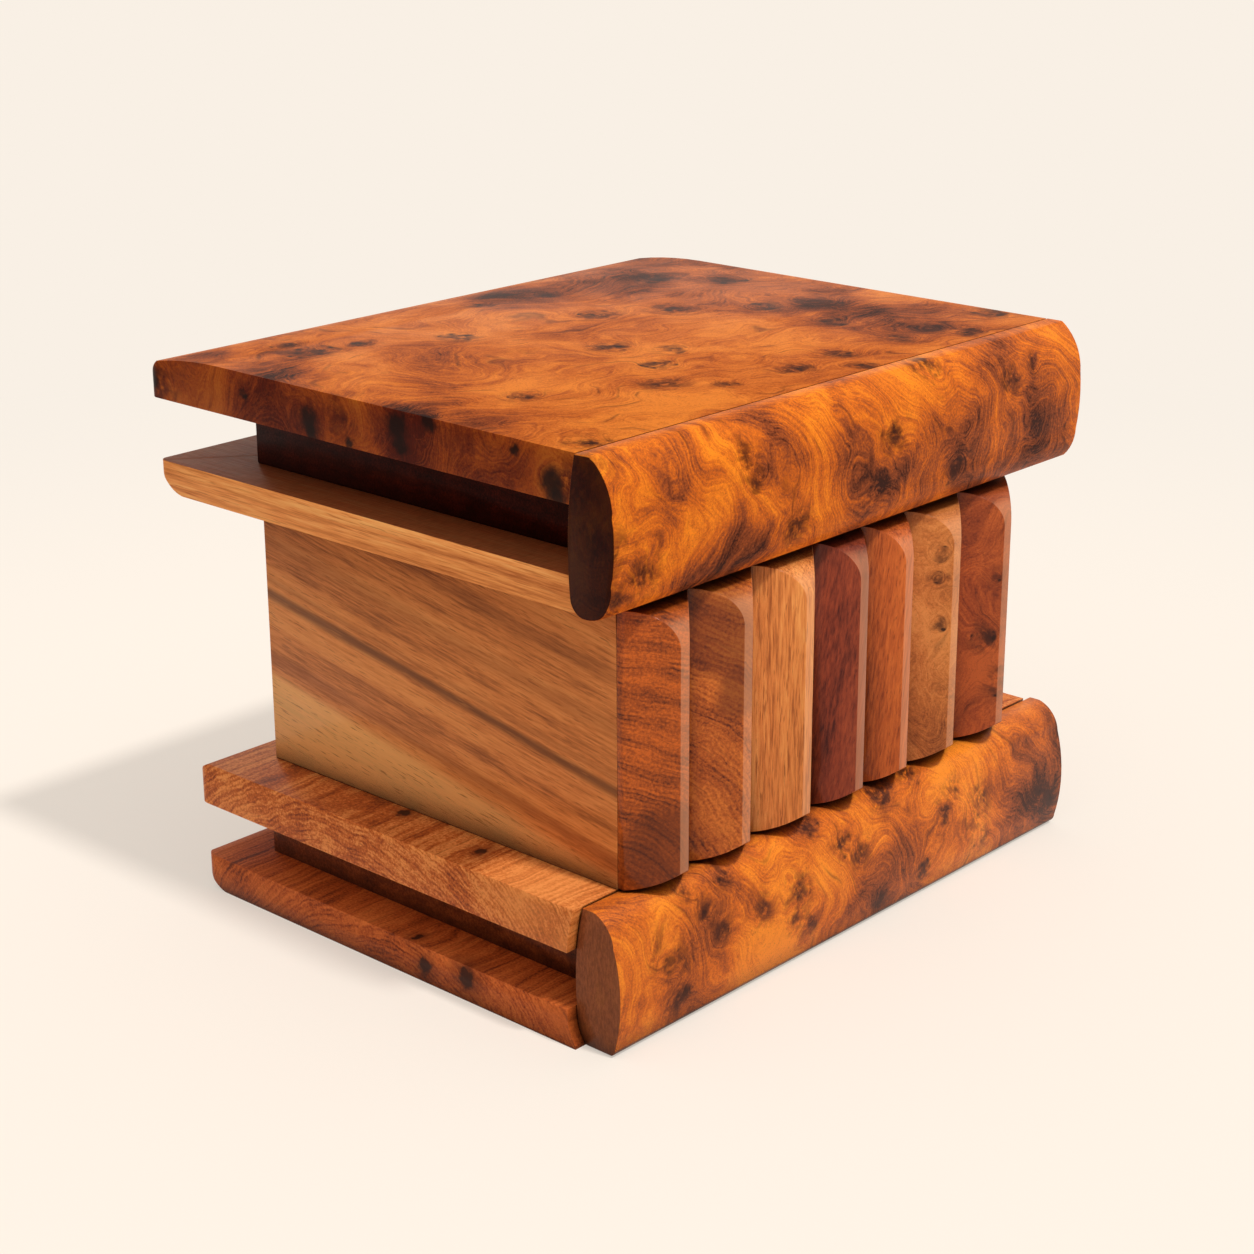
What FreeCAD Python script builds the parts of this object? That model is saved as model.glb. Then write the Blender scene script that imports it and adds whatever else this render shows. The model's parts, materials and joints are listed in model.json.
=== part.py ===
import FreeCAD, Part
import math
import os
import Sketcher

# A secret box built as a stack of books.  The lid is the upper book, the row of
# upright books is the front of the box, and the lower book is the base.
# X runs along the spines, the spines face -Y, and Z is up.  The origin is the
# middle of the footprint on the table.  Sizes are millimetres.

os.makedirs("parts", exist_ok=True)
doc = FreeCAD.newDocument("BookBox")
sheet = doc.addObject("Spreadsheet::Sheet", "Sizes")
rows = []
nodes = {}


class Size:
    """A number of millimetres and the sheet formula that gives it."""

    def __init__(self, value, text):
        self.value = float(value)
        self.text = text

    def __add__(self, other):
        other = as_size(other)
        return Size(self.value + other.value, f"({self.text} + {other.text})")

    def __sub__(self, other):
        other = as_size(other)
        return Size(self.value - other.value, f"({self.text} - {other.text})")

    def __mul__(self, other):
        other = as_size(other)
        return Size(self.value * other.value, f"({self.text} * {other.text})")

    def __truediv__(self, other):
        other = as_size(other)
        return Size(self.value / other.value, f"({self.text} / {other.text})")

    def __neg__(self):
        return Size(-self.value, f"(0 - {self.text})")

    def __radd__(self, other):
        return as_size(other) + self

    def __rsub__(self, other):
        return as_size(other) - self

    def __rmul__(self, other):
        return as_size(other) * self


def as_size(number):
    """Plain numbers become sizes, so that both can be mixed in a formula."""
    if isinstance(number, Size):
        return number
    return Size(number, f"({number:.6g})" if number < 0 else f"{number:.6g}")


def size(name, value, note):
    """One independent size in the sheet, with its note beside it."""
    row = len(rows) + 1
    rows.append(name)
    sheet.set(f"A{row}", note)
    sheet.set(f"B{row}", f"{value}")
    sheet.setAlias(f"B{row}", name)
    return Size(value, f"Sizes.{name}")


# The whole box
overall_depth = size("overall_depth", 114.8, "front of the spines to the lid's fore-edge")
book_length = size("book_length", 130, "length of the lid book and of the base book")
lid_height = size("lid_height", 26, "thickness of the lid book")
wall_height = size("wall_height", 50.6, "height of the box walls")
base_height = size("base_height", 25.4, "thickness of the base book")
base_shift = size("base_shift", 1, "how far the base book sits left of the lid")
spine_bulge = size("spine_bulge", 8.3, "how far the spines stand out from the seam")
spine_back = size("spine_back", 1.6, "how far the spines bulge back into the boards")

# The boards and page blocks of the two books
lid_board = size("lid_board", 8.5, "thickness of the lid's top board")
lid_under = size("lid_under", 6, "thickness of the lid's lower board")
lid_under_depth = size("lid_under_depth", 104.5, "seam to the lower board's fore-edge")
lid_page_inset = size("lid_page_inset", 10.5, "page block back from the lid's ends")
lid_page_depth = size("lid_page_depth", 89, "seam to the fore-edge of the lid's pages")
board_setback = size("board_setback", 0.4, "lid boards back from the ends of the spine")
base_board = size("base_board", 8.2, "thickness of the base's upper board")
base_under = size("base_under", 6.8, "thickness of the base's lower board")
base_board_depth = size("base_board_depth", 97.5, "seam to the upper board's fore-edge")
base_under_depth = size("base_under_depth", 96.5, "seam to the base board's fore-edge")
base_page_inset = size("base_page_inset", 9, "page block back from the base's ends")
base_page_depth = size("base_page_depth", 87, "seam to the fore-edge of the base's pages")
corner_round = size("corner_round", 2.6, "sanding of the boards' rear corners")
glue_line = size("glue_line", 0.05, "gap behind a glued spine")

# The walls and the upright books
left_inset = size("left_inset", 9.5, "left wall in from the lid's left end")
right_inset = size("right_inset", 14, "right wall in from the lid's right end")
body_depth = size("body_depth", 87, "front to back over the walls")
wall_thickness = size("wall_thickness", 6.5, "all four walls")
book_depth = size("book_depth", 7.8, "how far the upright books stand out")
crest_width = size("crest_width", 2.2, "flat crest of an upright book")
side_flat = size("side_flat", 1.3, "square edge behind each bevel")
book_foot = size("book_foot", 0.3, "gap under the upright books")
book_head = size("book_head", 1.5, "gap over the upright books")
head_round = size("head_round", 6.9, "rounding of a book's head")
foot_round = size("foot_round", 9.9, "rounding of a book's foot")
book_one = size("book_one", 15.6, "width of the first book")
book_two = size("book_two", 16.2, "width of the second book")
book_three = size("book_three", 16.5, "width of the third book")
book_four = size("book_four", 13.5, "width of the fourth book, the keyhole cover")
book_five = size("book_five", 12.7, "width of the fifth book")
book_six = size("book_six", 16.5, "width of the sixth book")
book_seven = size("book_seven", 15.5, "width of the seventh book")
door_gap = size("door_gap", 0.2, "gap round the keyhole cover")

# The sliding spine of the base
spine_rest = size("spine_rest", 2, "how far the photo shows the spine slid out")
spine_travel = size("spine_travel", 16, "slide from there to the open end")
spine_float = size("spine_float", 0.3, "base spine clear of the table and of the books")
slide_gap = size("slide_gap", 0.3, "spine clear of the coped boards")
rail_length = size("rail_length", 64, "dovetail rail on the back of the spine")
rail_left = size("rail_left", 38, "rail in from the spine's left end")
rail_mouth = size("rail_mouth", 4.2, "height of the dovetail at its narrow side")
rail_wide = size("rail_wide", 6.4, "height of the dovetail at its wide side")
rail_depth = size("rail_depth", 5, "depth of the dovetail behind the spine")
rail_fit = size("rail_fit", 0.15, "clearance round the rail")
rail_seat = size("rail_seat", 1.5, "rail let into the back of the spine")
stop_radius = size("stop_radius", 1.25, "stop pin of the sliding spine")
stop_fit = size("stop_fit", 0.15, "stop pin to the end of its slot")

# The lid hinges
hinge_inset = size("hinge_inset", 5.75, "hinge in from the side walls")
leaf_length = size("leaf_length", 20, "length of a hinge")
leaf_width = size("leaf_width", 7.6, "hinge axis to the edge of a leaf")
leaf_thick = size("leaf_thick", 0.8, "thickness of a hinge leaf")
barrel_radius = size("barrel_radius", 1.6, "outside of the hinge barrel")
barrel_gap = size("barrel_gap", 0.35, "hinge barrel clear of the wood")
pin_radius = size("pin_radius", 0.8, "hinge pin")
pin_fit = size("pin_fit", 0.05, "running fit of a hinge pin")
knuckle_gap = size("knuckle_gap", 0.15, "between two knuckles")

# Small screws, drawn plain: the solids leave out their slots and countersinks
screw_radius = size("screw_radius", 0.7, "radius of the small screws")
screw_length = size("screw_length", 5, "length of the small screws")
screw_fit = size("screw_fit", 0.05, "gap round a screw and beyond its end")

# The lock, its strike and its keyhole
lock_width = size("lock_width", 26, "width of the lock case")
lock_height = size("lock_height", 22, "height of the lock case")
lock_depth = size("lock_depth", 6.4, "depth of the lock case with its cover")
lock_skin = size("lock_skin", 0.8, "sheet of the lock case")
bolt_width = size("bolt_width", 9, "width of the bolt's tongue")
bolt_thick = size("bolt_thick", 2.4, "thickness of the bolt")
bolt_throw = size("bolt_throw", 3.5, "rise of the bolt")
bolt_fit = size("bolt_fit", 0.12, "clearance round the bolt")
bolt_shoulder = size("bolt_shoulder", 2.6, "bolt plate beyond the tongue at each side")
bolt_notch = size("bolt_notch", 3.2, "notch in the bolt for the key's bit")
strike_gap = size("strike_gap", 0.3, "strike plate clear of the bolt")
mortise_gap = size("mortise_gap", 0.5, "wood clear of the bolt")
lock_screw_inset = size("lock_screw_inset", 3.4, "lock screw in from the case's side")
strike_length = size("strike_length", 20, "length of the strike plate")
strike_width = size("strike_width", 5.6, "width of the strike plate")
keyhole_radius = size("keyhole_radius", 1.6, "round part of the keyhole")
keyhole_slot = size("keyhole_slot", 1.5, "width of the keyhole's slot")
keyhole_drop = size("keyhole_drop", 15, "keyhole below the top of the walls")
plate_width = size("plate_width", 6.6, "width of the keyhole plate")
plate_height = size("plate_height", 14, "height of the keyhole plate")
plate_thick = size("plate_thick", 0.6, "thickness of the keyhole plate")

# The keyhole cover's hinge
cover_hinge = size("cover_hinge", 18, "length of the cover's hinge")
cover_leaf = size("cover_leaf", 3.1, "width of a leaf of the cover's hinge")
cover_sheet = size("cover_sheet", 0.5, "thickness of that leaf")
cover_barrel = size("cover_barrel", 0.85, "radius of its barrel")
cover_pin = size("cover_pin", 0.4, "radius of its pin")
cover_relief = size("cover_relief", 0.3, "wood cut clear of its barrel")

# The key in its pocket
key_length = size("key_length", 34, "length of the key")
key_shank = size("key_shank", 1.3, "radius of the key's shank")
key_bow = size("key_bow", 4.2, "outer radius of the key's bow")
key_pocket = size("key_pocket", 3.8, "width of the key's pocket")
key_left = size("key_left", 14.5, "middle of the pocket from the base's left end")
key_thick = size("key_thick", 1.6, "thickness of the key's bow")
bit_drop = size("bit_drop", 3.8, "drop of the key's bit below its shank")
bit_width = size("bit_width", 4.2, "width of the bit along the shank")
bit_thick = size("bit_thick", 1.2, "thickness of the bit")

doc.recompute()

# Reference planes that many pieces share
joint = spine_bulge - overall_depth / 2
wall_top = base_height + wall_height
top = wall_top + lid_height
lid_left = -(book_length / 2)
lid_right = book_length / 2
base_left = -(book_length / 2) - base_shift
base_right = book_length / 2 - base_shift
body_left = lid_left + left_inset
body_right = lid_right - right_inset
body_width = body_right - body_left
spine_left = base_left + spine_rest
hinge_y = joint + body_depth + barrel_radius + barrel_gap
half_leaf = leaf_length / 2
inner_left = body_left + wall_thickness
inner_right = body_right - wall_thickness
hinge_middles = {
    "left": inner_left + hinge_inset + half_leaf,
    "right": inner_right - hinge_inset - half_leaf,
}

# The seven books share the front of the box between them
book_widths = [book_one, book_two, book_three, book_four, book_five, book_six, book_seven]
book_sum = book_one
for width in book_widths[1:]:
    book_sum = book_sum + width
grooves = [body_left]
for width in book_widths[:-1]:
    grooves.append(grooves[-1] + width * (body_width / book_sum))
grooves.append(body_right)
lock_x = (grooves[3] + grooves[4]) / 2
lock_front = joint + wall_thickness
lock_top = wall_top - 0.1
keyhole_z = wall_top - keyhole_drop
page_low = base_under
page_high = base_height - base_board
rail_z = (page_low + page_high) / 2


def vector(a, b):
    return FreeCAD.Vector(a, b, 0)


def arc_between(start, end, radius):
    """Arc from start to end, its centre left of the way when radius is positive."""
    chord = end - start
    half = chord.Length / 2
    lift = math.sqrt(max(radius * radius - half * half, 0))
    left = FreeCAD.Vector(-chord.y, chord.x, 0).normalize()
    centre = (start + end) * 0.5 + left * (lift if radius > 0 else -lift)
    first, last = (start, end) if radius > 0 else (end, start)
    angle_first = math.atan2(first.y - centre.y, first.x - centre.x)
    angle_last = math.atan2(last.y - centre.y, last.x - centre.x)
    circle = Part.Circle(centre, FreeCAD.Vector(0, 0, 1), abs(radius))
    return Part.ArcOfCircle(circle, angle_first, angle_last)


def new_body(name):
    body = doc.addObject("PartDesign::Body", name)
    return body


def sketch_on(body, name, plane, offset=0):
    """A sketch on one of the body's own planes, moved out along its normal."""
    sketch = body.newObject("Sketcher::SketchObject", name)
    for feature in body.Origin.OriginFeatures:
        if feature.Role == plane:
            sketch.AttachmentSupport = (feature, "")
    sketch.MapMode = "FlatFace"
    if isinstance(offset, Size) or offset:
        out = as_size(offset)
        sketch.AttachmentOffset = FreeCAD.Placement(
            FreeCAD.Vector(0, 0, out.value), FreeCAD.Rotation()
        )
        sketch.setExpression("AttachmentOffset.Base.z", out.text)
    return sketch


def bind(sketch, kind, *args):
    """Add a dimension and bind it to its formula."""
    measure = as_size(args[-1])
    index = sketch.addConstraint(Sketcher.Constraint(kind, *args[:-1], measure.value))
    sketch.setExpression(f"Constraints[{index}]", measure.text)


def pin_point(sketch, item, end, across, along):
    """Hold one point of the sketch at its two formulas."""
    for axis, kind, measure in ((-2, "DistanceX", across), (-1, "DistanceY", along)):
        if not isinstance(measure, Size) and measure == 0:
            sketch.addConstraint(Sketcher.Constraint("PointOnObject", item, end, axis))
        else:
            bind(sketch, kind, -1, 1, item, end, measure)


def outline(sketch, corners, arcs=None):
    """A closed outline through the corners; arcs maps a side to its radius."""
    arcs = arcs or {}
    ends = []
    for side, (across, along) in enumerate(corners):
        next_across, next_along = corners[(side + 1) % len(corners)]
        start = vector(as_size(across).value, as_size(along).value)
        end = vector(as_size(next_across).value, as_size(next_along).value)
        if side in arcs:
            radius = as_size(arcs[side])
            item = sketch.addGeometry(arc_between(start, end, radius.value), False)
            ends.append((item, 1, 2) if radius.value > 0 else (item, 2, 1))
        else:
            item = sketch.addGeometry(Part.LineSegment(start, end), False)
            ends.append((item, 1, 2))
    for side, (item, first, last) in enumerate(ends):
        after, after_first, _ = ends[(side + 1) % len(ends)]
        sketch.addConstraint(
            Sketcher.Constraint("Coincident", item, last, after, after_first)
        )
    for side, (item, first, last) in enumerate(ends):
        pin_point(sketch, item, first, *corners[side])
        if side in arcs:
            radius = as_size(arcs[side])
            bind(sketch, "Radius", item, radius if radius.value > 0 else -radius)
    return sketch


def box_outline(sketch, left, right, low, high):
    return outline(sketch, [(left, low), (right, low), (right, high), (left, high)])


def circle(sketch, across, along, radius):
    spot = vector(as_size(across).value, as_size(along).value)
    item = sketch.addGeometry(
        Part.Circle(spot, FreeCAD.Vector(0, 0, 1), as_size(radius).value), False
    )
    pin_point(sketch, item, 3, across, along)
    bind(sketch, "Radius", item, radius)
    return sketch


def feature(body, kind, name, sketch, length=None, forward=True, through=False):
    """Pad or pocket a sketch; forward goes along the plane's normal."""
    item = body.newObject(f"PartDesign::{kind}", name)
    item.Profile = sketch
    if through:
        item.Type = "ThroughAll"
        item.Midplane = True
    else:
        length = as_size(length)
        item.Length = length.value
        item.setExpression("Length", length.text)
        item.Reversed = forward if kind == "Pocket" else not forward
    sketch.Visibility = False
    return item


def pad(body, name, sketch, length, forward=True):
    return feature(body, "Pad", name, sketch, length, forward)


def cut(body, name, sketch, length=None, forward=True):
    """Pocket a sketch, and make sure that it takes wood away."""
    before = volume(body)
    item = feature(body, "Pocket", name, sketch, length, forward, length is None)
    after = volume(body)
    if not after < before - 1e-4:
        raise RuntimeError(f"{body.Name}.{name} removed nothing")
    return item


def volume(body):
    doc.recompute()
    return body.Shape.Volume


def block(name, left, right, front, back, low, high):
    """A squared piece of wood between six planes."""
    body = new_body(name)
    sketch = sketch_on(body, f"{name}_plan", "XY_Plane", low)
    box_outline(sketch, left, right, front, back)
    pad(body, f"{name}_pad", sketch, high - low)
    return body


def keep(name, shape_object=None):
    """Remember the object that becomes one node of the part."""
    nodes[name] = shape_object or doc.getObject(name)


# The spines.  Their section is a tall lens: strongly rounded in front, slightly
# rounded at the back, cut flush with the boards at the seam.

LID_SPINE = [
    (0, 1),
    (-0.41, 1),
    (-0.97, 0.655),
    (-0.935, 0.23),
    (-0.66, 0.015),
    (-0.205, -0.019),
]
back_low = (joint + spine_back * 0.75, wall_top + lid_height * 0.092)


def lid_spine_section(sketch):
    corners = [
        (joint + spine_bulge * across, wall_top + lid_height * up)
        for across, up in LID_SPINE
    ]
    corners.append(back_low)
    arcs = {
        1: lid_height * 0.423,
        2: lid_height * 1.54,
        3: lid_height * 0.31,
        4: lid_height * 0.31,
        5: lid_height * 0.123,
        6: lid_height * 3.08,
    }
    return outline(sketch, corners, arcs)


BASE_SPINE = [
    (0, 1),
    (-0.265, 1),
    (-0.83, 0.786),
    (-0.865, 0.064),
    (-0.745, 0.0),
    (-0.06, 0.0),
]
base_spine_top = base_height - spine_float + 0.1
base_spine_high = base_spine_top - spine_float
base_back_low = (joint + spine_back * 0.9, spine_float + base_spine_high * 0.217)


def base_spine_section(sketch):
    corners = [
        (joint + spine_bulge * across, spine_float + base_spine_high * up)
        for across, up in BASE_SPINE
    ]
    corners.append(base_back_low)
    arcs = {
        1: base_spine_high * 0.245,
        2: base_spine_high * 1.29,
        3: base_spine_high * 0.075,
        5: base_spine_high * 0.32,
        6: base_spine_high * 2.2,
    }
    return outline(sketch, corners, arcs)


def cope_lid(body):
    """Hollow a board's front edge to seat the lid's spine."""
    sketch = sketch_on(body, f"{body.Name}_cope_line", "YZ_Plane", 0)
    front = joint - spine_bulge
    back_y, back_z = back_low
    outline(
        sketch,
        [
            (front, wall_top - lid_height * 0.019 - glue_line),
            (joint - spine_bulge * 0.205, wall_top - lid_height * 0.019 - glue_line),
            (back_y + glue_line, back_z),
            (joint + glue_line, top),
            (joint + glue_line, top + 1),
            (front, top + 1),
        ],
        {1: lid_height * 0.123 + glue_line, 2: lid_height * 3.08},
    )
    cut(body, f"{body.Name}_cope", sketch)


def cope_base(body):
    """Hollow a board's front edge so that the base's spine slides past it."""
    sketch = sketch_on(body, f"{body.Name}_cope_line", "YZ_Plane", 0)
    front = joint - spine_bulge
    back_y, back_z = base_back_low
    outline(
        sketch,
        [
            (front, -1),
            (joint + slide_gap - spine_bulge * 0.06, -1),
            (joint + slide_gap - spine_bulge * 0.06, spine_float),
            (back_y + slide_gap, back_z),
            (joint + slide_gap, base_spine_top),
            (joint + slide_gap, base_height + 1),
            (front, base_height + 1),
        ],
        {2: base_spine_high * 0.32, 3: base_spine_high * 2.2},
    )
    cut(body, f"{body.Name}_cope", sketch)


def round_rear(body, left, right, back, low, thick, radius):
    """Sand the two rear corners of a board in plan."""
    sketch = sketch_on(body, f"{body.Name}_corner_line", "XY_Plane", low - 1)
    outline(
        sketch,
        [(left - 2, back - radius), (left, back - radius), (left + radius, back),
         (left + radius, back + 2), (left - 2, back + 2)],
        {1: -radius},
    )
    outline(
        sketch,
        [(right + 2, back + 2), (right - radius, back + 2), (right - radius, back),
         (right, back - radius), (right + 2, back - radius)],
        {2: -radius},
    )
    cut(body, f"{body.Name}_corners", sketch, thick + 2)


def board(name, left, right, corners, arcs):
    """A board drawn in side view and drawn out along the spine."""
    body = new_body(name)
    sketch = sketch_on(body, f"{name}_section", "YZ_Plane", left)
    outline(sketch, corners, arcs)
    pad(body, f"{name}_pad", sketch, right - left)
    return body


# The lid book
body = new_body("lid_spine")
pad(body, "lid_spine_pad", lid_spine_section(
    sketch_on(body, "lid_spine_section", "YZ_Plane", lid_left)), book_length)
keep("lid_spine")

board_left = lid_left + board_setback
board_right = lid_right - board_setback
tip = joint + overall_depth - spine_bulge
board_low = top - lid_board
body = board(
    "lid_top_board",
    board_left,
    board_right,
    [
        (joint, board_low),
        (tip - 0.4, board_low),
        (tip, board_low + lid_board * 0.2),
        (tip - lid_board * 0.36, top - lid_board * 0.19),
        (tip - lid_board * 2.36, top),
        (joint, top),
    ],
    {2: lid_board * 0.95, 3: lid_board * 10.8},
)
cope_lid(body)
round_rear(body, board_left, board_right, tip, board_low, lid_board, corner_round)
keep("lid_top_board")

pages_low = wall_top + lid_under
body = block(
    "lid_page_block",
    lid_left + lid_page_inset,
    lid_right - lid_page_inset,
    joint,
    joint + lid_page_depth,
    pages_low,
    board_low,
)
cope_lid(body)
keep("lid_page_block")

under_back = joint + lid_under_depth
body = board(
    "lid_lower_board",
    board_left,
    board_right,
    [
        (joint, wall_top),
        (under_back - lid_under, wall_top),
        (under_back, pages_low - lid_under * 0.12),
        (under_back, pages_low),
        (joint, pages_low),
    ],
    {1: lid_under * 1.2},
)
cope_lid(body)
round_rear(body, board_left, board_right, under_back, wall_top, lid_under, corner_round * 0.6)

# Seats for the hinges, the strike and their screws in the lower board
leaf_front = hinge_y - leaf_width
barrel_seat = barrel_radius + barrel_gap
seat = sketch_on(body, "lid_hinge_seats_plan", "XY_Plane", wall_top)
for middle in hinge_middles.values():
    box_outline(seat, middle - half_leaf, middle + half_leaf, leaf_front, hinge_y)
cut(body, "lid_hinge_seats", seat, leaf_thick)
for side, middle in hinge_middles.items():
    groove = sketch_on(
        body, f"lid_barrel_line_{side}", "YZ_Plane", middle - half_leaf - barrel_gap
    )
    circle(groove, hinge_y, wall_top, barrel_seat)
    cut(body, f"lid_barrel_groove_{side}", groove, leaf_length + barrel_gap * 2)

strike_y = lock_front + lock_depth / 2
seat = sketch_on(body, "strike_seat_plan", "XY_Plane", wall_top)
box_outline(
    seat,
    lock_x - strike_length / 2,
    lock_x + strike_length / 2,
    strike_y - strike_width / 2,
    strike_y + strike_width / 2,
)
cut(body, "strike_seat", seat, leaf_thick)
hole = sketch_on(body, "bolt_mortise_plan", "XY_Plane", wall_top)
box_outline(
    hole,
    lock_x - bolt_width / 2 - mortise_gap,
    lock_x + bolt_width / 2 + mortise_gap,
    strike_y - bolt_thick / 2 - mortise_gap,
    strike_y + bolt_thick / 2 + mortise_gap,
)
cut(body, "bolt_mortise", hole, bolt_throw + 1)
keep("lid_lower_board")

# The base book
base_tip = joint + base_board_depth
body = board(
    "base_upper_board",
    base_left,
    base_right,
    [
        (joint, page_high),
        (base_tip, page_high),
        (base_tip, base_height - base_board * 0.6),
        (base_tip - base_board * 0.5, base_height),
        (joint, base_height),
    ],
    {2: base_board * 0.58},
)
cope_base(body)
round_rear(body, base_left, base_right, base_tip, page_high, base_board, corner_round)
keep("base_upper_board")

under_tip = joint + base_under_depth
body = board(
    "base_lower_board",
    base_left,
    base_right,
    [
        (joint, 0),
        (under_tip - base_under * 0.8, 0),
        (under_tip, base_under * 0.88),
        (under_tip - 0.3, base_under),
        (joint, base_under),
    ],
    {1: base_under * 1.0},
)
cope_base(body)
round_rear(body, base_left, base_right, under_tip, as_size(0), base_under, corner_round)
keep("base_lower_board")

body = block(
    "base_page_block",
    base_left + base_page_inset,
    base_right - base_page_inset,
    joint,
    joint + base_page_depth,
    page_low,
    page_high,
)
cope_base(body)

# The dovetail groove runs out at the right end, so that the rail goes in there
seam = joint + spine_back + slide_gap
rail_back = seam + rail_depth
groove_left = spine_left + rail_left - spine_rest - rail_fit * 2
groove = sketch_on(body, "rail_groove_section", "YZ_Plane", groove_left)
outline(
    groove,
    [
        (joint - 1, rail_z - rail_mouth / 2 - rail_fit),
        (seam, rail_z - rail_mouth / 2 - rail_fit),
        (rail_back + rail_fit, rail_z - rail_wide / 2 - rail_fit),
        (rail_back + rail_fit, rail_z + rail_wide / 2 + rail_fit),
        (seam, rail_z + rail_mouth / 2 + rail_fit),
        (joint - 1, rail_z + rail_mouth / 2 + rail_fit),
    ],
)
cut(body, "rail_groove", groove, book_length)
key_x = base_left + key_left
pocket = sketch_on(body, "key_pocket_plan", "XY_Plane", page_low)
box_outline(
    pocket,
    key_x - key_pocket / 2,
    key_x + key_pocket / 2,
    joint,
    joint + spine_back + slide_gap + key_length + 2.5,
)
cut(body, "key_pocket", pocket, key_bow * 2 + 0.8)
stop_x = spine_left + rail_left + rail_length / 2
stop_y = seam + rail_depth * 0.55
hole = sketch_on(body, "stop_hole_plan", "XY_Plane", page_low + 0.8)
circle(hole, stop_x, stop_y, stop_radius + screw_fit)
cut(body, "stop_hole", hole, base_board + base_height)
keep("base_page_block")

body = new_body("stop_pin")
sketch = sketch_on(body, "stop_pin_plan", "XY_Plane", page_low + 0.8)
circle(sketch, stop_x, stop_y, stop_radius)
pad(body, "stop_pin_pad", sketch, page_high - page_low - 0.8)
keep("stop_pin")

# The sliding spine and its rail
body = new_body("base_spine")
pad(body, "base_spine_pad", base_spine_section(
    sketch_on(body, "base_spine_section", "YZ_Plane", spine_left)), book_length)
seat = sketch_on(body, "rail_seat_section", "YZ_Plane", spine_left + rail_left)
box_outline(
    seat,
    joint - rail_seat,
    joint + spine_back + 1,
    rail_z - rail_mouth / 2,
    rail_z + rail_mouth / 2,
)
cut(body, "rail_seat", seat, rail_length)
keep("base_spine")

body = new_body("spine_rail")
sketch = sketch_on(body, "spine_rail_section", "YZ_Plane", spine_left + rail_left)
outline(
    sketch,
    [
        (joint - rail_seat, rail_z - rail_mouth / 2),
        (seam, rail_z - rail_mouth / 2),
        (rail_back, rail_z - rail_wide / 2),
        (rail_back, rail_z + rail_wide / 2),
        (seam, rail_z + rail_mouth / 2),
        (joint - rail_seat, rail_z + rail_mouth / 2),
    ],
)
pad(body, "spine_rail_pad", sketch, rail_length)
slot = sketch_on(body, "stop_slot_plan", "XY_Plane", page_low)
reach = stop_radius + stop_fit
outline(
    slot,
    [
        (stop_x - spine_travel, stop_y - reach),
        (stop_x + spine_rest, stop_y - reach),
        (stop_x + spine_rest, stop_y + reach),
        (stop_x - spine_travel, stop_y + reach),
    ],
    {1: reach, 3: reach},
)
cut(body, "stop_slot", slot, base_height)
keep("spine_rail")

# The four walls
body = block(
    "left_wall",
    body_left,
    body_left + wall_thickness,
    joint,
    joint + body_depth,
    base_height,
    wall_top,
)
keep("left_wall")
body = block(
    "right_wall",
    body_right - wall_thickness,
    body_right,
    joint,
    joint + body_depth,
    base_height,
    wall_top,
)
keep("right_wall")
body = block(
    "back_wall",
    inner_left,
    inner_right,
    joint + body_depth - wall_thickness,
    joint + body_depth,
    base_height,
    wall_top,
)
seat = sketch_on(body, "wall_hinge_seats_plan", "XY_Plane", wall_top - leaf_thick)
for middle in hinge_middles.values():
    box_outline(seat, middle - half_leaf, middle + half_leaf, leaf_front, hinge_y)
cut(body, "wall_hinge_seats", seat, leaf_thick + 1)
keep("back_wall")

front = block("front_wall", inner_left, inner_right, joint, lock_front, base_height, wall_top)


def keyhole_cut(body, start, depth):
    """Cut the keyhole into a body from one plane towards the inside of the box."""
    round_part = sketch_on(body, f"{body.Name}_keyhole_round", "XZ_Plane", -start)
    circle(round_part, lock_x, keyhole_z, keyhole_radius)
    cut(body, f"{body.Name}_keyhole_bore", round_part, depth, forward=False)
    slot = sketch_on(body, f"{body.Name}_keyhole_slot_line", "XZ_Plane", -start)
    half = keyhole_slot / 2
    box_outline(
        slot,
        lock_x - half,
        lock_x + half,
        keyhole_z - keyhole_radius * 2.9,
        keyhole_z,
    )
    cut(body, f"{body.Name}_keyhole_slot", slot, depth, forward=False)


keyhole_cut(front, joint - 0.5, wall_thickness + 1)
seat = sketch_on(front, "plate_seat_line", "XZ_Plane", -joint)
box_outline(
    seat,
    lock_x - plate_width / 2,
    lock_x + plate_width / 2,
    keyhole_z - plate_height * 0.6,
    keyhole_z + plate_height * 0.4,
)
cut(front, "plate_seat", seat, plate_thick, forward=False)
keep("front_wall")

body = new_body("keyhole_plate")
sketch = sketch_on(body, "keyhole_plate_line", "XZ_Plane", -joint)
box_outline(
    sketch,
    lock_x - plate_width / 2,
    lock_x + plate_width / 2,
    keyhole_z - plate_height * 0.6,
    keyhole_z + plate_height * 0.4,
)
pad(body, "keyhole_plate_pad", sketch, plate_thick, forward=False)
keyhole_cut(body, joint - 0.5, plate_thick + 1)
keep("keyhole_plate")

# The upright books
book_low = base_height + book_foot
book_high = wall_top - book_head
crest = joint - book_depth


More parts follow.
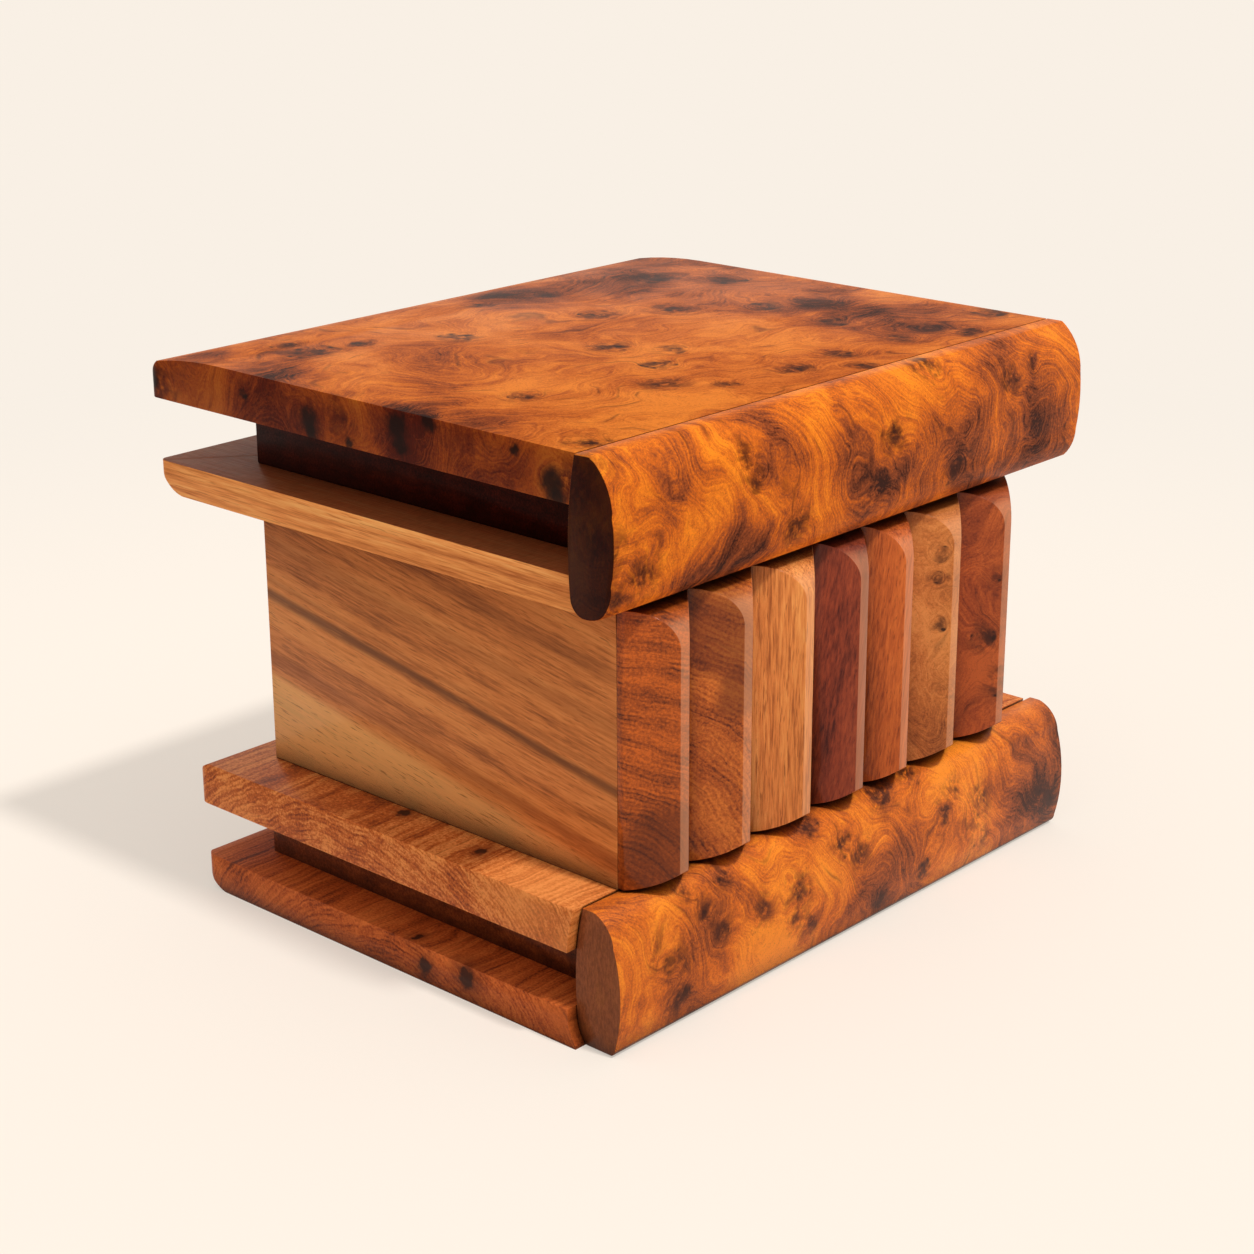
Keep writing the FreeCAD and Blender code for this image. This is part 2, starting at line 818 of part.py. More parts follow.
def upright_book(name, left, right):
    """One upright book: bevelled in plan, rounded at head and foot in side view."""
    body = new_body(name)
    sketch = sketch_on(body, f"{name}_plan", "XY_Plane", book_low)
    bevel = (right - left - crest_width) / 2
    outline(
        sketch,
        [
            (left, joint),
            (left, joint - side_flat),
            (left + bevel, crest),
            (right - bevel, crest),
            (right, joint - side_flat),
            (right, joint),
        ],
    )
    pad(body, f"{name}_pad", sketch, book_high - book_low)
    head = sketch_on(body, f"{name}_head_line", "YZ_Plane", left - 1)
    outline(
        head,
        [
            (crest - 2, book_high - head_round),
            (crest, book_high - head_round),
            (crest + head_round, book_high),
            (crest + head_round, book_high + 2),
            (crest - 2, book_high + 2),
        ],
        {1: -head_round},
    )
    cut(body, f"{name}_head", head, right - left + 2)
    foot = sketch_on(body, f"{name}_foot_line", "YZ_Plane", left - 1)
    outline(
        foot,
        [
            (joint - book_depth * 0.13, book_low),
            (crest, book_low + foot_round * 0.273),
            (crest - 2, book_low + foot_round * 0.273),
            (crest - 2, book_low - 2),
            (joint - book_depth * 0.13, book_low - 2),
        ],
        {0: -foot_round},
    )
    cut(body, f"{name}_foot", foot, right - left + 2)
    return body


hinge_x = grooves[4]
cover_y = joint - side_flat
cover_low = keyhole_z - cover_hinge / 2 - 3
cover_high = cover_low + cover_hinge
for number in range(1, 8):
    left = grooves[number - 1]
    right = grooves[number]
    if number == 4:
        left = left + door_gap
        right = right - door_gap / 2
    if number == 5:
        left = left + door_gap / 2
    body = upright_book(f"book_{number}", left, right)
    if number in (4, 5):
        relief = sketch_on(body, f"book_{number}_relief_plan", "XY_Plane", cover_low - cover_relief)
        circle(relief, hinge_x, cover_y, cover_barrel + cover_relief)
        cut(body, f"book_{number}_relief", relief, cover_hinge + cover_relief * 2)
        leaf_seat = sketch_on(body, f"book_{number}_seat_plan", "XY_Plane", cover_low)
        if number == 4:
            box_outline(leaf_seat, hinge_x - cover_leaf, hinge_x, joint - cover_sheet, joint)
        else:
            box_outline(leaf_seat, hinge_x, hinge_x + cover_leaf, joint - cover_sheet, joint)
        cut(body, f"book_{number}_seat", leaf_seat, cover_hinge)
    keep(f"book_{number}")

# The keyhole cover's hinge: one leaf on the wall behind book 5, one on book 4
knuckle = cover_hinge / 3


def cover_leaf_body(name, left, right, spans):
    body = new_body(name)
    plan = sketch_on(body, f"{name}_plan", "XZ_Plane", -joint)
    box_outline(plan, left, right, cover_low, cover_high)
    pad(body, f"{name}_pad", plan, cover_sheet)
    for index, (low, high) in enumerate(spans):
        ring = sketch_on(body, f"{name}_knuckle_plan_{index}", "XY_Plane", low)
        circle(ring, hinge_x, cover_y, cover_barrel)
        pad(body, f"{name}_knuckle_{index}", ring, high - low)
    return body


def clear_gap(body, name, low, high):
    """Cut a leaf back where the other leaf's knuckle turns."""
    plan = sketch_on(body, f"{name}_plan", "XY_Plane", low)
    circle(plan, hinge_x, cover_y, cover_barrel + cover_relief * 0.5)
    cut(body, name, plan, high - low)


first = (cover_low, cover_low + knuckle - knuckle_gap)
middle_span = (cover_low + knuckle, cover_low + knuckle * 2)
last = (cover_low + knuckle * 2 + knuckle_gap, cover_high)

body = cover_leaf_body(
    "cover_hinge_wall_leaf", hinge_x + 0.1, hinge_x + cover_leaf, [first, last]
)
clear_gap(body, "wall_leaf_clearance", first[1], last[0])
bore = sketch_on(body, "wall_leaf_bore_plan", "XY_Plane", cover_low - 1)
circle(bore, hinge_x, cover_y, cover_pin + pin_fit)
cut(body, "wall_leaf_bore", bore, cover_hinge + 2)
keep("cover_hinge_wall_leaf")

body = cover_leaf_body(
    "cover_hinge_book_leaf", hinge_x - cover_leaf, hinge_x - 0.1, [middle_span]
)
clear_gap(body, "book_leaf_clearance_low", cover_low - 1, middle_span[0])
clear_gap(body, "book_leaf_clearance_high", middle_span[1], cover_high + 1)
bore = sketch_on(body, "book_leaf_bore_plan", "XY_Plane", cover_low - 1)
circle(bore, hinge_x, cover_y, cover_pin + pin_fit)
cut(body, "book_leaf_bore", bore, cover_hinge + 2)
keep("cover_hinge_book_leaf")

body = new_body("cover_hinge_pin")
sketch = sketch_on(body, "cover_hinge_pin_plan", "XY_Plane", cover_low)
circle(sketch, hinge_x, cover_y, cover_pin)
pad(body, "cover_hinge_pin_pad", sketch, cover_hinge)
keep("cover_hinge_pin")

# The lid's two butt hinges
hinge_knuckle = leaf_length / 3


def lid_hinge_leaf(name, middle, low, spans, gaps):
    """A plate with knuckles round the hinge axis."""
    body = new_body(name)
    plan = sketch_on(body, f"{name}_plan", "XY_Plane", low)
    box_outline(plan, middle - half_leaf, middle + half_leaf, leaf_front, hinge_y)
    pad(body, f"{name}_pad", plan, leaf_thick)
    for index, (start, end) in enumerate(gaps):
        gap = sketch_on(body, f"{name}_gap_plan_{index}", "XY_Plane", low - 1)
        box_outline(gap, start, end, hinge_y - barrel_seat, hinge_y + 1)
        cut(body, f"{name}_gap_{index}", gap, leaf_thick + 2)
    for index, (start, end) in enumerate(spans):
        ring = sketch_on(body, f"{name}_knuckle_line_{index}", "YZ_Plane", start)
        circle(ring, hinge_y, wall_top, barrel_radius)
        pad(body, f"{name}_knuckle_{index}", ring, end - start)
    bore = sketch_on(body, f"{name}_bore_line", "YZ_Plane", middle - half_leaf - 1)
    circle(bore, hinge_y, wall_top, pin_radius + pin_fit)
    cut(body, f"{name}_bore", bore, leaf_length + 2)
    return body


screw_y = (leaf_front + hinge_y - barrel_seat) / 2


def drill(body, name, plane, offset, spots, depth, forward):
    """A row of screw holes, bored from one face of a leaf, a plate or a board."""
    sketch = sketch_on(body, f"{name}_plan", plane, offset)
    for across, along in spots:
        circle(sketch, across, along, screw_radius + screw_fit)
    cut(body, name, sketch, depth, forward)


def screws(name, plane, offset, spots, forward):
    """Identical screws share one node as separate solids, heads on the plane."""
    bodies = []
    for index, (across, along) in enumerate(spots):
        body = new_body(f"{name}_{index}")
        sketch = sketch_on(body, f"{name}_{index}_plan", plane, offset)
        circle(sketch, across, along, screw_radius)
        pad(body, f"{name}_{index}_pad", sketch, screw_length, forward)
        bodies.append(body)
    item = doc.addObject("Part::Compound", name)
    item.Links = bodies
    keep(name, item)


box_spots = []
lid_spots = []
hole_depth = screw_length + screw_fit
for side, middle in hinge_middles.items():
    start = middle - half_leaf
    one = start + hinge_knuckle
    two = start + hinge_knuckle * 2
    end = middle + half_leaf
    body = lid_hinge_leaf(
        f"hinge_{side}_box_leaf",
        middle,
        wall_top - leaf_thick,
        [(start, one - knuckle_gap), (two + knuckle_gap, end)],
        [(one - knuckle_gap, two + knuckle_gap)],
    )
    spots = [(middle - half_leaf * 0.6, screw_y), (middle + half_leaf * 0.6, screw_y)]
    drill(body, f"hinge_{side}_box_holes", "XY_Plane", wall_top, spots, leaf_thick * 2, False)
    keep(f"hinge_{side}_box_leaf")
    box_spots += spots
    body = lid_hinge_leaf(
        f"hinge_{side}_lid_leaf",
        middle,
        wall_top,
        [(one, two)],
        [(start - 1, one), (two, end + 1)],
    )
    spots = [(middle - half_leaf * 0.75, screw_y), (middle + half_leaf * 0.75, screw_y)]
    drill(body, f"hinge_{side}_lid_holes", "XY_Plane", wall_top, spots, leaf_thick * 2, True)
    keep(f"hinge_{side}_lid_leaf")
    lid_spots += spots
    body = new_body(f"hinge_{side}_pin")
    sketch = sketch_on(body, f"hinge_{side}_pin_line", "YZ_Plane", start)
    circle(sketch, hinge_y, wall_top, pin_radius)
    pad(body, f"hinge_{side}_pin_pad", sketch, leaf_length)
    keep(f"hinge_{side}_pin")
drill(doc.back_wall, "wall_holes", "XY_Plane", wall_top, box_spots, hole_depth, False)
drill(doc.lid_lower_board, "lid_holes", "XY_Plane", wall_top, lid_spots, hole_depth, True)
screws("hinge_box_screws", "XY_Plane", wall_top, box_spots, False)
screws("hinge_lid_screws", "XY_Plane", wall_top, lid_spots, True)

# The strike plate in the lid
body = new_body("strike_plate")
sketch = sketch_on(body, "strike_plate_plan", "XY_Plane", wall_top)
box_outline(
    sketch,
    lock_x - strike_length / 2,
    lock_x + strike_length / 2,
    strike_y - strike_width / 2,
    strike_y + strike_width / 2,
)
box_outline(
    sketch,
    lock_x - bolt_width / 2 - strike_gap,
    lock_x + bolt_width / 2 + strike_gap,
    strike_y - bolt_thick / 2 - strike_gap,
    strike_y + bolt_thick / 2 + strike_gap,
)
pad(body, "strike_plate_pad", sketch, leaf_thick)
strike_spots = [(lock_x - strike_length * 0.38, strike_y), (lock_x + strike_length * 0.38, strike_y)]
drill(body, "strike_holes", "XY_Plane", wall_top, strike_spots, leaf_thick * 2, True)
keep("strike_plate")
drill(doc.lid_lower_board, "strike_screw_holes", "XY_Plane", wall_top, strike_spots, hole_depth, True)
screws("strike_screws", "XY_Plane", wall_top, strike_spots, True)

# The lock: an open case on the inner face of the front wall, with a cover
case_left = lock_x - lock_width / 2
case_right = lock_x + lock_width / 2
case_low = lock_top - lock_height
case_back = lock_front + lock_depth - lock_skin
body = block("lock_case", case_left, case_right, lock_front, case_back, case_low, lock_top)
hollow = sketch_on(body, "lock_hollow_line", "XZ_Plane", -(lock_front + lock_skin))
box_outline(
    hollow,
    case_left + lock_skin,
    case_right - lock_skin,
    case_low + lock_skin,
    lock_top - lock_skin,
)
cut(body, "lock_hollow", hollow, lock_depth, forward=False)
slot = sketch_on(body, "bolt_slot_plan", "XY_Plane", lock_top - lock_skin - 1)
box_outline(
    slot,
    lock_x - bolt_width / 2 - bolt_fit,
    lock_x + bolt_width / 2 + bolt_fit,
    strike_y - bolt_thick / 2 - bolt_fit,
    strike_y + bolt_thick / 2 + bolt_fit,
)
cut(body, "bolt_slot", slot, lock_skin + 2)
keyhole_cut(body, lock_front - 0.5, lock_skin + 1)
case_spots = [
    (case_left + lock_screw_inset, lock_top - lock_height / 2),
    (case_right - lock_screw_inset, lock_top - lock_height / 2),
]
plate_back = lock_front + lock_skin
drill(body, "lock_case_holes", "XZ_Plane", -plate_back, case_spots, lock_skin * 2, True)
keep("lock_case")
drill(doc.front_wall, "lock_holes", "XZ_Plane", -plate_back, case_spots, hole_depth, True)
screws("lock_screws", "XZ_Plane", -plate_back, case_spots, True)

body = new_body("lock_cover")
sketch = sketch_on(body, "lock_cover_line", "XZ_Plane", -case_back)
box_outline(sketch, case_left, case_right, case_low, lock_top)
pad(body, "lock_cover_pad", sketch, lock_skin, forward=False)
keep("lock_cover")

# The bolt: a tongue on a wider plate, with a notch for the key's bit
shoulder = lock_top - lock_skin - bolt_throw - 0.4
plate_half = bolt_width / 2 + bolt_shoulder
bolt_low = keyhole_z + keyhole_radius * 0.2
body = new_body("lock_bolt")
sketch = sketch_on(body, "lock_bolt_line", "XZ_Plane", -(strike_y - bolt_thick / 2))
outline(
    sketch,
    [
        (lock_x - plate_half, bolt_low),
        (lock_x - bolt_notch / 2, bolt_low),
        (lock_x - bolt_notch / 2, bolt_low + bolt_notch * 0.94),
        (lock_x + bolt_notch / 2, bolt_low + bolt_notch * 0.94),
        (lock_x + bolt_notch / 2, bolt_low),
        (lock_x + plate_half, bolt_low),
        (lock_x + plate_half, shoulder),
        (lock_x + bolt_width / 2, shoulder),
        (lock_x + bolt_width / 2, lock_top - 0.1),
        (lock_x - bolt_width / 2, lock_top - 0.1),
        (lock_x - bolt_width / 2, shoulder),
        (lock_x - plate_half, shoulder),
    ],
)
pad(body, "lock_bolt_pad", sketch, bolt_thick, forward=False)
keep("lock_bolt")

# The key lies on edge in its pocket, bow to the front
key_front = joint + spine_back + slide_gap + 0.6
key_z = page_low + key_bow + 0.1
bow_y = key_front + key_bow
body = new_body("key")
sketch = sketch_on(body, "key_bow_line", "YZ_Plane", key_x - key_thick / 2)
circle(sketch, bow_y, key_z, key_bow)
pad(body, "key_bow_pad", sketch, key_thick)
shank = sketch_on(body, "key_shank_line", "XZ_Plane", -(bow_y + key_bow * 0.8))
circle(shank, key_x, key_z, key_shank)
pad(body, "key_shank_pad", shank, key_length - key_bow * 1.8, forward=False)
bit = sketch_on(body, "key_bit_line", "YZ_Plane", key_x - bit_thick / 2)
bit_end = key_front + key_length - bit_width * 0.3
bit_start = bit_end - bit_width
outline(
    bit,
    [
        (bit_start, key_z),
        (bit_start, key_z - bit_drop),
        (bit_start + bit_width * 0.38, key_z - bit_drop),
        (bit_start + bit_width * 0.38, key_z - bit_drop * 0.63),
        (bit_start + bit_width * 0.62, key_z - bit_drop * 0.63),
        (bit_start + bit_width * 0.62, key_z - bit_drop),
        (bit_end, key_z - bit_drop),
        (bit_end, key_z),
    ],
)
pad(body, "key_bit_pad", bit, bit_thick)
eye = sketch_on(body, "key_eye_line", "YZ_Plane", key_x - key_thick)
circle(eye, bow_y, key_z, key_bow * 0.6)
cut(body, "key_eye", eye, key_thick * 2)
keep("key")

doc.recompute()
for item in doc.Objects:
    if "Invalid" in item.State or "Error" in item.State:
        raise RuntimeError(f"{item.Name} is {item.State}")
for name, item in nodes.items():
    shape = item.Shape
    if shape.isNull() or not shape.isValid() or not shape.Solids:
        raise RuntimeError(f"{name} has no valid solid")
    shape.exportStep(f"parts/{name}.step")
print(len(nodes), "nodes written")
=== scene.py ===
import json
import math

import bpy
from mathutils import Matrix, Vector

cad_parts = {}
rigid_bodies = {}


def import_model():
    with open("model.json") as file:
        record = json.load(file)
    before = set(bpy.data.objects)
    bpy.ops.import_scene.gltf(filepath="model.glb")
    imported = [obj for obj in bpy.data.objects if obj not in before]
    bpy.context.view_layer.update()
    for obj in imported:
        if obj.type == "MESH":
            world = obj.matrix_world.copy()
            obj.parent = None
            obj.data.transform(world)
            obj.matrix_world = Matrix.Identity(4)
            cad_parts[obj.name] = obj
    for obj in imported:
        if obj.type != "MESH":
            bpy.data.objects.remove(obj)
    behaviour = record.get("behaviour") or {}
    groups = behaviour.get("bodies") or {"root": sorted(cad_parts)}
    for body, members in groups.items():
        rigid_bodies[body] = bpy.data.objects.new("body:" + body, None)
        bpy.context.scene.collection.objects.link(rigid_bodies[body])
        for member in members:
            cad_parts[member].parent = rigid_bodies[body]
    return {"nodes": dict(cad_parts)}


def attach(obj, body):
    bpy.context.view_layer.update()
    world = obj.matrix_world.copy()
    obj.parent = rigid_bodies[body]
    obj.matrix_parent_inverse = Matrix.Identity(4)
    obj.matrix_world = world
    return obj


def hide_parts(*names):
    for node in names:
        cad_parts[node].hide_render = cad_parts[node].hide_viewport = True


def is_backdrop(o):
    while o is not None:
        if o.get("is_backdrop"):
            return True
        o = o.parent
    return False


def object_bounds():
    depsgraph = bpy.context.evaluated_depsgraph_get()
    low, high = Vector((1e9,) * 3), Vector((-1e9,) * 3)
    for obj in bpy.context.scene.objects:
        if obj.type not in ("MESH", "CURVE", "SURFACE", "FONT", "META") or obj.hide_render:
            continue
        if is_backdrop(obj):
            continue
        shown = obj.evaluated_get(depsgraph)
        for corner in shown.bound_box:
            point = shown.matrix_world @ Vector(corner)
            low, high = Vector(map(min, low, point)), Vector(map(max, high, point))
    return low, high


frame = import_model()

# %% [markdown]
# # A secret box built as a stack of books
# The lid is the upper book, seven upright books hide the front of the box, and the lower
# book is the base. Every wooden piece comes from the measured model, so its size and place
# are right already. This lesson gives each piece its sanded edges, its own wood and its
# lacquer, and then sets the light and the camera.

MM = 0.001
measured_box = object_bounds()
low, high = measured_box
print("measured box, mm:", [round((b - a) / MM, 1) for a, b in zip(low, high)])

# %% [markdown]
# ## The camera
# The photograph looks down at the near left corner of the box from about half a metre away.
# The lens was worked out from the straight edges of the box, so the picture's perspective is
# the photograph's. A long lens from further away would flatten the spines.

# %% Place the camera
FOCAL_LENGTH, PICTURE_WIDTH = 2497, 1254    # both counted in the photograph's pixels
eye = Vector((-331.5, -303.6, 202.3)) * MM
turn, tilt, roll = math.radians(47.58), math.radians(-19.21), math.radians(-0.20)
ahead = Vector((math.sin(turn) * math.cos(tilt), math.cos(turn) * math.cos(tilt), math.sin(tilt)))
level = Vector((math.cos(turn), -math.sin(turn), 0))
rise = level.cross(ahead)
side = level * math.cos(roll) + rise * math.sin(roll)
upward = rise * math.cos(roll) - level * math.sin(roll)

camera_data = bpy.data.cameras.new("camera")
camera_data.sensor_width = 36
camera_data.lens = camera_data.sensor_width * FOCAL_LENGTH / PICTURE_WIDTH
camera = bpy.data.objects.new("camera", camera_data)
camera.matrix_world = Matrix((side, upward, -ahead)).transposed().to_4x4()
camera.location = eye
bpy.context.scene.collection.objects.link(camera)
bpy.context.scene.camera = camera
bpy.context.scene.view_settings.view_transform = "Standard"
print("lens, mm:", round(camera_data.lens, 1))

# %% [markdown]
# ## Colours as they are read on a screen
# A colour picked from a screen is written 0 to 255, but light adds up on another scale. This
# small helper turns the one into the other, so that the rest of the lesson can name a wood
# by the colour that it has to the eye.


# %% A paint helper
def paint(red, green, blue):
    """The light values of a colour written as 0 to 255."""
    values = []
    for part in (red, green, blue):
        part = part / 255
        values.append(part / 12.92 if part <= 0.04045 else ((part + 0.055) / 1.055) ** 2.4)
    return (*values, 1.0)


# %% [markdown]
# ## The light
# The edge of the lid's shadow on the ledge of the base shows where the main lamp stands: in
# front of the spines, high up and a little to the right. It is a small lamp, because that
# edge is sharp. Everything else is soft light from overhead and from the pale floor. Nothing
# shines in level from the front, so the gaps under the lid and under the books go almost
# black, as they do in the photograph. A weak, very wide lamp on the left lifts the walls.


# %% Two lamps
def sun(name, energy, width, colour, stands):
    """A far lamp: width is how broad it looks, in degrees, and stands is the way to it."""
    data = bpy.data.lights.new(name, "SUN")
    data.energy = energy
    data.angle = math.radians(width)
    data.color = colour
    lamp = bpy.data.objects.new(name, data)
    lamp.rotation_mode = "QUATERNION"
    lamp.rotation_quaternion = Vector(stands).to_track_quat("Z", "Y")
    bpy.context.scene.collection.objects.link(lamp)
    print(name, "energy", energy)


sun("main_lamp", 2.05, 5, (1.0, 0.97, 0.93), (0.06, -0.5, 0.87))
sun("side_lamp", 0.35, 70, (1.0, 0.95, 0.88), (-0.85, -0.25, 0.4))

# %% [markdown]
# ## The room
# The room gives soft light that is strongest straight overhead and almost nothing level with
# the box. What the camera sees of the room, and what the lacquer mirrors, is plain pale
# paper, so the two jobs are kept apart by the kind of ray that asks.

# %% The room's soft light
room = bpy.data.worlds.new("room")
room.use_nodes = True
bpy.context.scene.world = room
room_nodes, room_links = room.node_tree.nodes, room.node_tree.links
room_nodes.clear()
BACKDROP = paint(249, 240, 229)
LEVEL_LIGHT, OVERHEAD_LIGHT, FALL = 0.05, 1.05, 1.8


def room_node(kind, sockets, **settings):
    """One node of the room, with its sockets set or linked."""
    node = room_nodes.new(kind)
    for name, value in settings.items():
        setattr(node, name, value)
    for name, value in sockets.items():
        if isinstance(value, bpy.types.NodeSocket):
            room_links.new(value, node.inputs[name])
        else:
            node.inputs[name].default_value = value
    return node


rays = room_node("ShaderNodeLightPath", {})
seen = rays.outputs["Is Camera Ray"]
for kind in ("Is Glossy Ray", "Is Transmission Ray"):
    seen = room_node(
        "ShaderNodeMath", {0: seen, 1: rays.outputs[kind]}, operation="MAXIMUM"
    ).outputs[0]
sky_place = room_node("ShaderNodeTexCoord", {})
height = room_node("ShaderNodeSeparateXYZ", {0: sky_place.outputs["Generated"]})
overhead = room_node(
    "ShaderNodeMath", {0: height.outputs[2], 1: 0.0}, operation="MAXIMUM"
)
gathered = room_node("ShaderNodeMath", {0: overhead.outputs[0], 1: FALL}, operation="POWER")
ceiling = room_node(
    "ShaderNodeMapRange",
    {"Value": gathered.outputs[0], "To Min": LEVEL_LIGHT, "To Max": OVERHEAD_LIGHT},
)
soft_light = room_node(
    "ShaderNodeBackground", {"Color": (1.0, 0.95, 0.89, 1.0), "Strength": ceiling.outputs[0]}
)
shown_light = room_node("ShaderNodeBackground", {"Color": BACKDROP, "Strength": 1.0})
choice = room_node(
    "ShaderNodeMixShader", {0: seen, 1: soft_light.outputs[0], 2: shown_light.outputs[0]}
)
room_node("ShaderNodeOutputWorld", {"Surface": choice.outputs[0]})
print("steps in the room's light:", len(room_nodes))

# %% [markdown]
# ## Building a finish
# A finish could be a picture wrapped round each piece. Here it is a recipe in the space of
# the object itself, as real wood is: cut it anywhere, and the end shows the same rings as the
# face. This first class only makes a recipe readable. Places are millimetres on the box, so
# a knot can be put exactly where it is.


# %% One material, step by step
class Recipe:
    """One material, made step by step; each step returns what the next can use."""

    def __init__(self, name):
        self.material = bpy.data.materials.new(name)
        self.material.use_nodes = True
        self.nodes = self.material.node_tree.nodes
        self.links = self.material.node_tree.links
        self.nodes.clear()
        own_space = self.nodes.new("ShaderNodeTexCoord").outputs["Object"]
        self.place = self.move("SCALE", own_space, scale=1 / MM)

    def add(self, kind, sockets, **settings):
        node = self.nodes.new(kind)
        for name, value in settings.items():
            setattr(node, name, value)
        for name, value in sockets.items():
            if isinstance(value, bpy.types.NodeSocket):
                self.links.new(value, node.inputs[name])
            else:
                node.inputs[name].default_value = value
        return node

    def sum(self, operation, *values):
        return self.add("ShaderNodeMath", dict(enumerate(values)), operation=operation).outputs[0]

    def move(self, operation, *values, scale=None):
        sockets = dict(enumerate(values))
        if scale is not None:
            sockets["Scale"] = scale
        node = self.add("ShaderNodeVectorMath", sockets, operation=operation)
        number = operation in ("LENGTH", "DISTANCE", "DOT_PRODUCT")
        return node.outputs["Value" if number else "Vector"]


# %% [markdown]
# ## Clouds, cells and stripes
# Every wood in this lesson comes from a few simple patterns. Clouds make blotches and fibres,
# cells scatter the buds of burl, and stripes are growth rings. Bending the place first makes
# any of them flow as growing wood does.


# %% The patterns
class Pattern(Recipe):
    """A recipe that can draw with clouds, cells and stripes."""

    def cloud(self, at, size, detail=2.0, rough=0.5, colour=False):
        """Soft noise whose blotches are about size millimetres across."""
        node = self.add(
            "ShaderNodeTexNoise",
            {"Vector": at, "Scale": 1 / size, "Detail": detail, "Roughness": rough},
        )
        return node.outputs["Color" if colour else 0]

    def cells(self, at, size):
        """Scattered points about size millimetres apart: distance, and a colour for each."""
        node = self.add("ShaderNodeTexVoronoi", {"Vector": at, "Scale": 1 / size})
        return node.outputs["Distance"], node.outputs["Color"]

    def step(self, value, start, end, first=0.0, last=1.0):
        """A soft step from one value to another."""
        sockets = {
            "Value": value, "From Min": start, "From Max": end, "To Min": first, "To Max": last
        }
        return self.add("ShaderNodeMapRange", sockets, interpolation_type="SMOOTHSTEP").outputs[0]

    def mix(self, amount, first, second, way="MIX"):
        node = self.add(
            "ShaderNodeMix", {0: amount, 6: first, 7: second}, data_type="RGBA", blend_type=way
        )
        return node.outputs[2]

    def ramp(self, value, stops):
        """Colours along a value, each written as (where, colour)."""
        node = self.add("ShaderNodeValToRGB", {"Fac": value})
        while len(node.color_ramp.elements) < len(stops):
            node.color_ramp.elements.new(0.5)
        for element, (where, colour) in zip(node.color_ramp.elements, stops):
            element.position = where
            element.color = colour
        return node.outputs["Color"]

    def bend(self, at, size, amount, detail=1.0):
        """The same place, pushed about by a cloud, as grain is pushed about by growth."""
        push = self.move("SUBTRACT", self.cloud(at, size, detail, colour=True), (0.5, 0.5, 0.5))
        return self.move("ADD", at, self.move("SCALE", push, scale=amount))

    def stripes(self, value, spacing):
        """Even stripes, 0 to 1, along a distance in millimetres."""
        wave = self.sum("SINE", self.sum("MULTIPLY", value, 2 * math.pi / spacing))
        return self.sum("MULTIPLY_ADD", wave, 0.5, 0.5)


# %% [markdown]
# ## Painted shade and highlights, wear and lacquer
# An old box is never one even colour. Cut ends drink more stain and also get painted shade
# where they turn from the lamp. The gaps and corners that little light reaches get painted
# shade, the edges are painted paler, partly as wear and partly as a painted highlight, and
# the books' crests get a painted highlight. These are the last steps of every wood here,
# under a thin coat of lacquer, so they are written once.


# %% From raw wood to a finished surface
# The first colour is painted shade for gaps and corners, the last a painted highlight for the
# books' crests.
GAP_SHADE, BLACK_KNOT, CREST_HIGHLIGHT = paint(26, 6, 2), paint(24, 6, 3), paint(240, 176, 136)


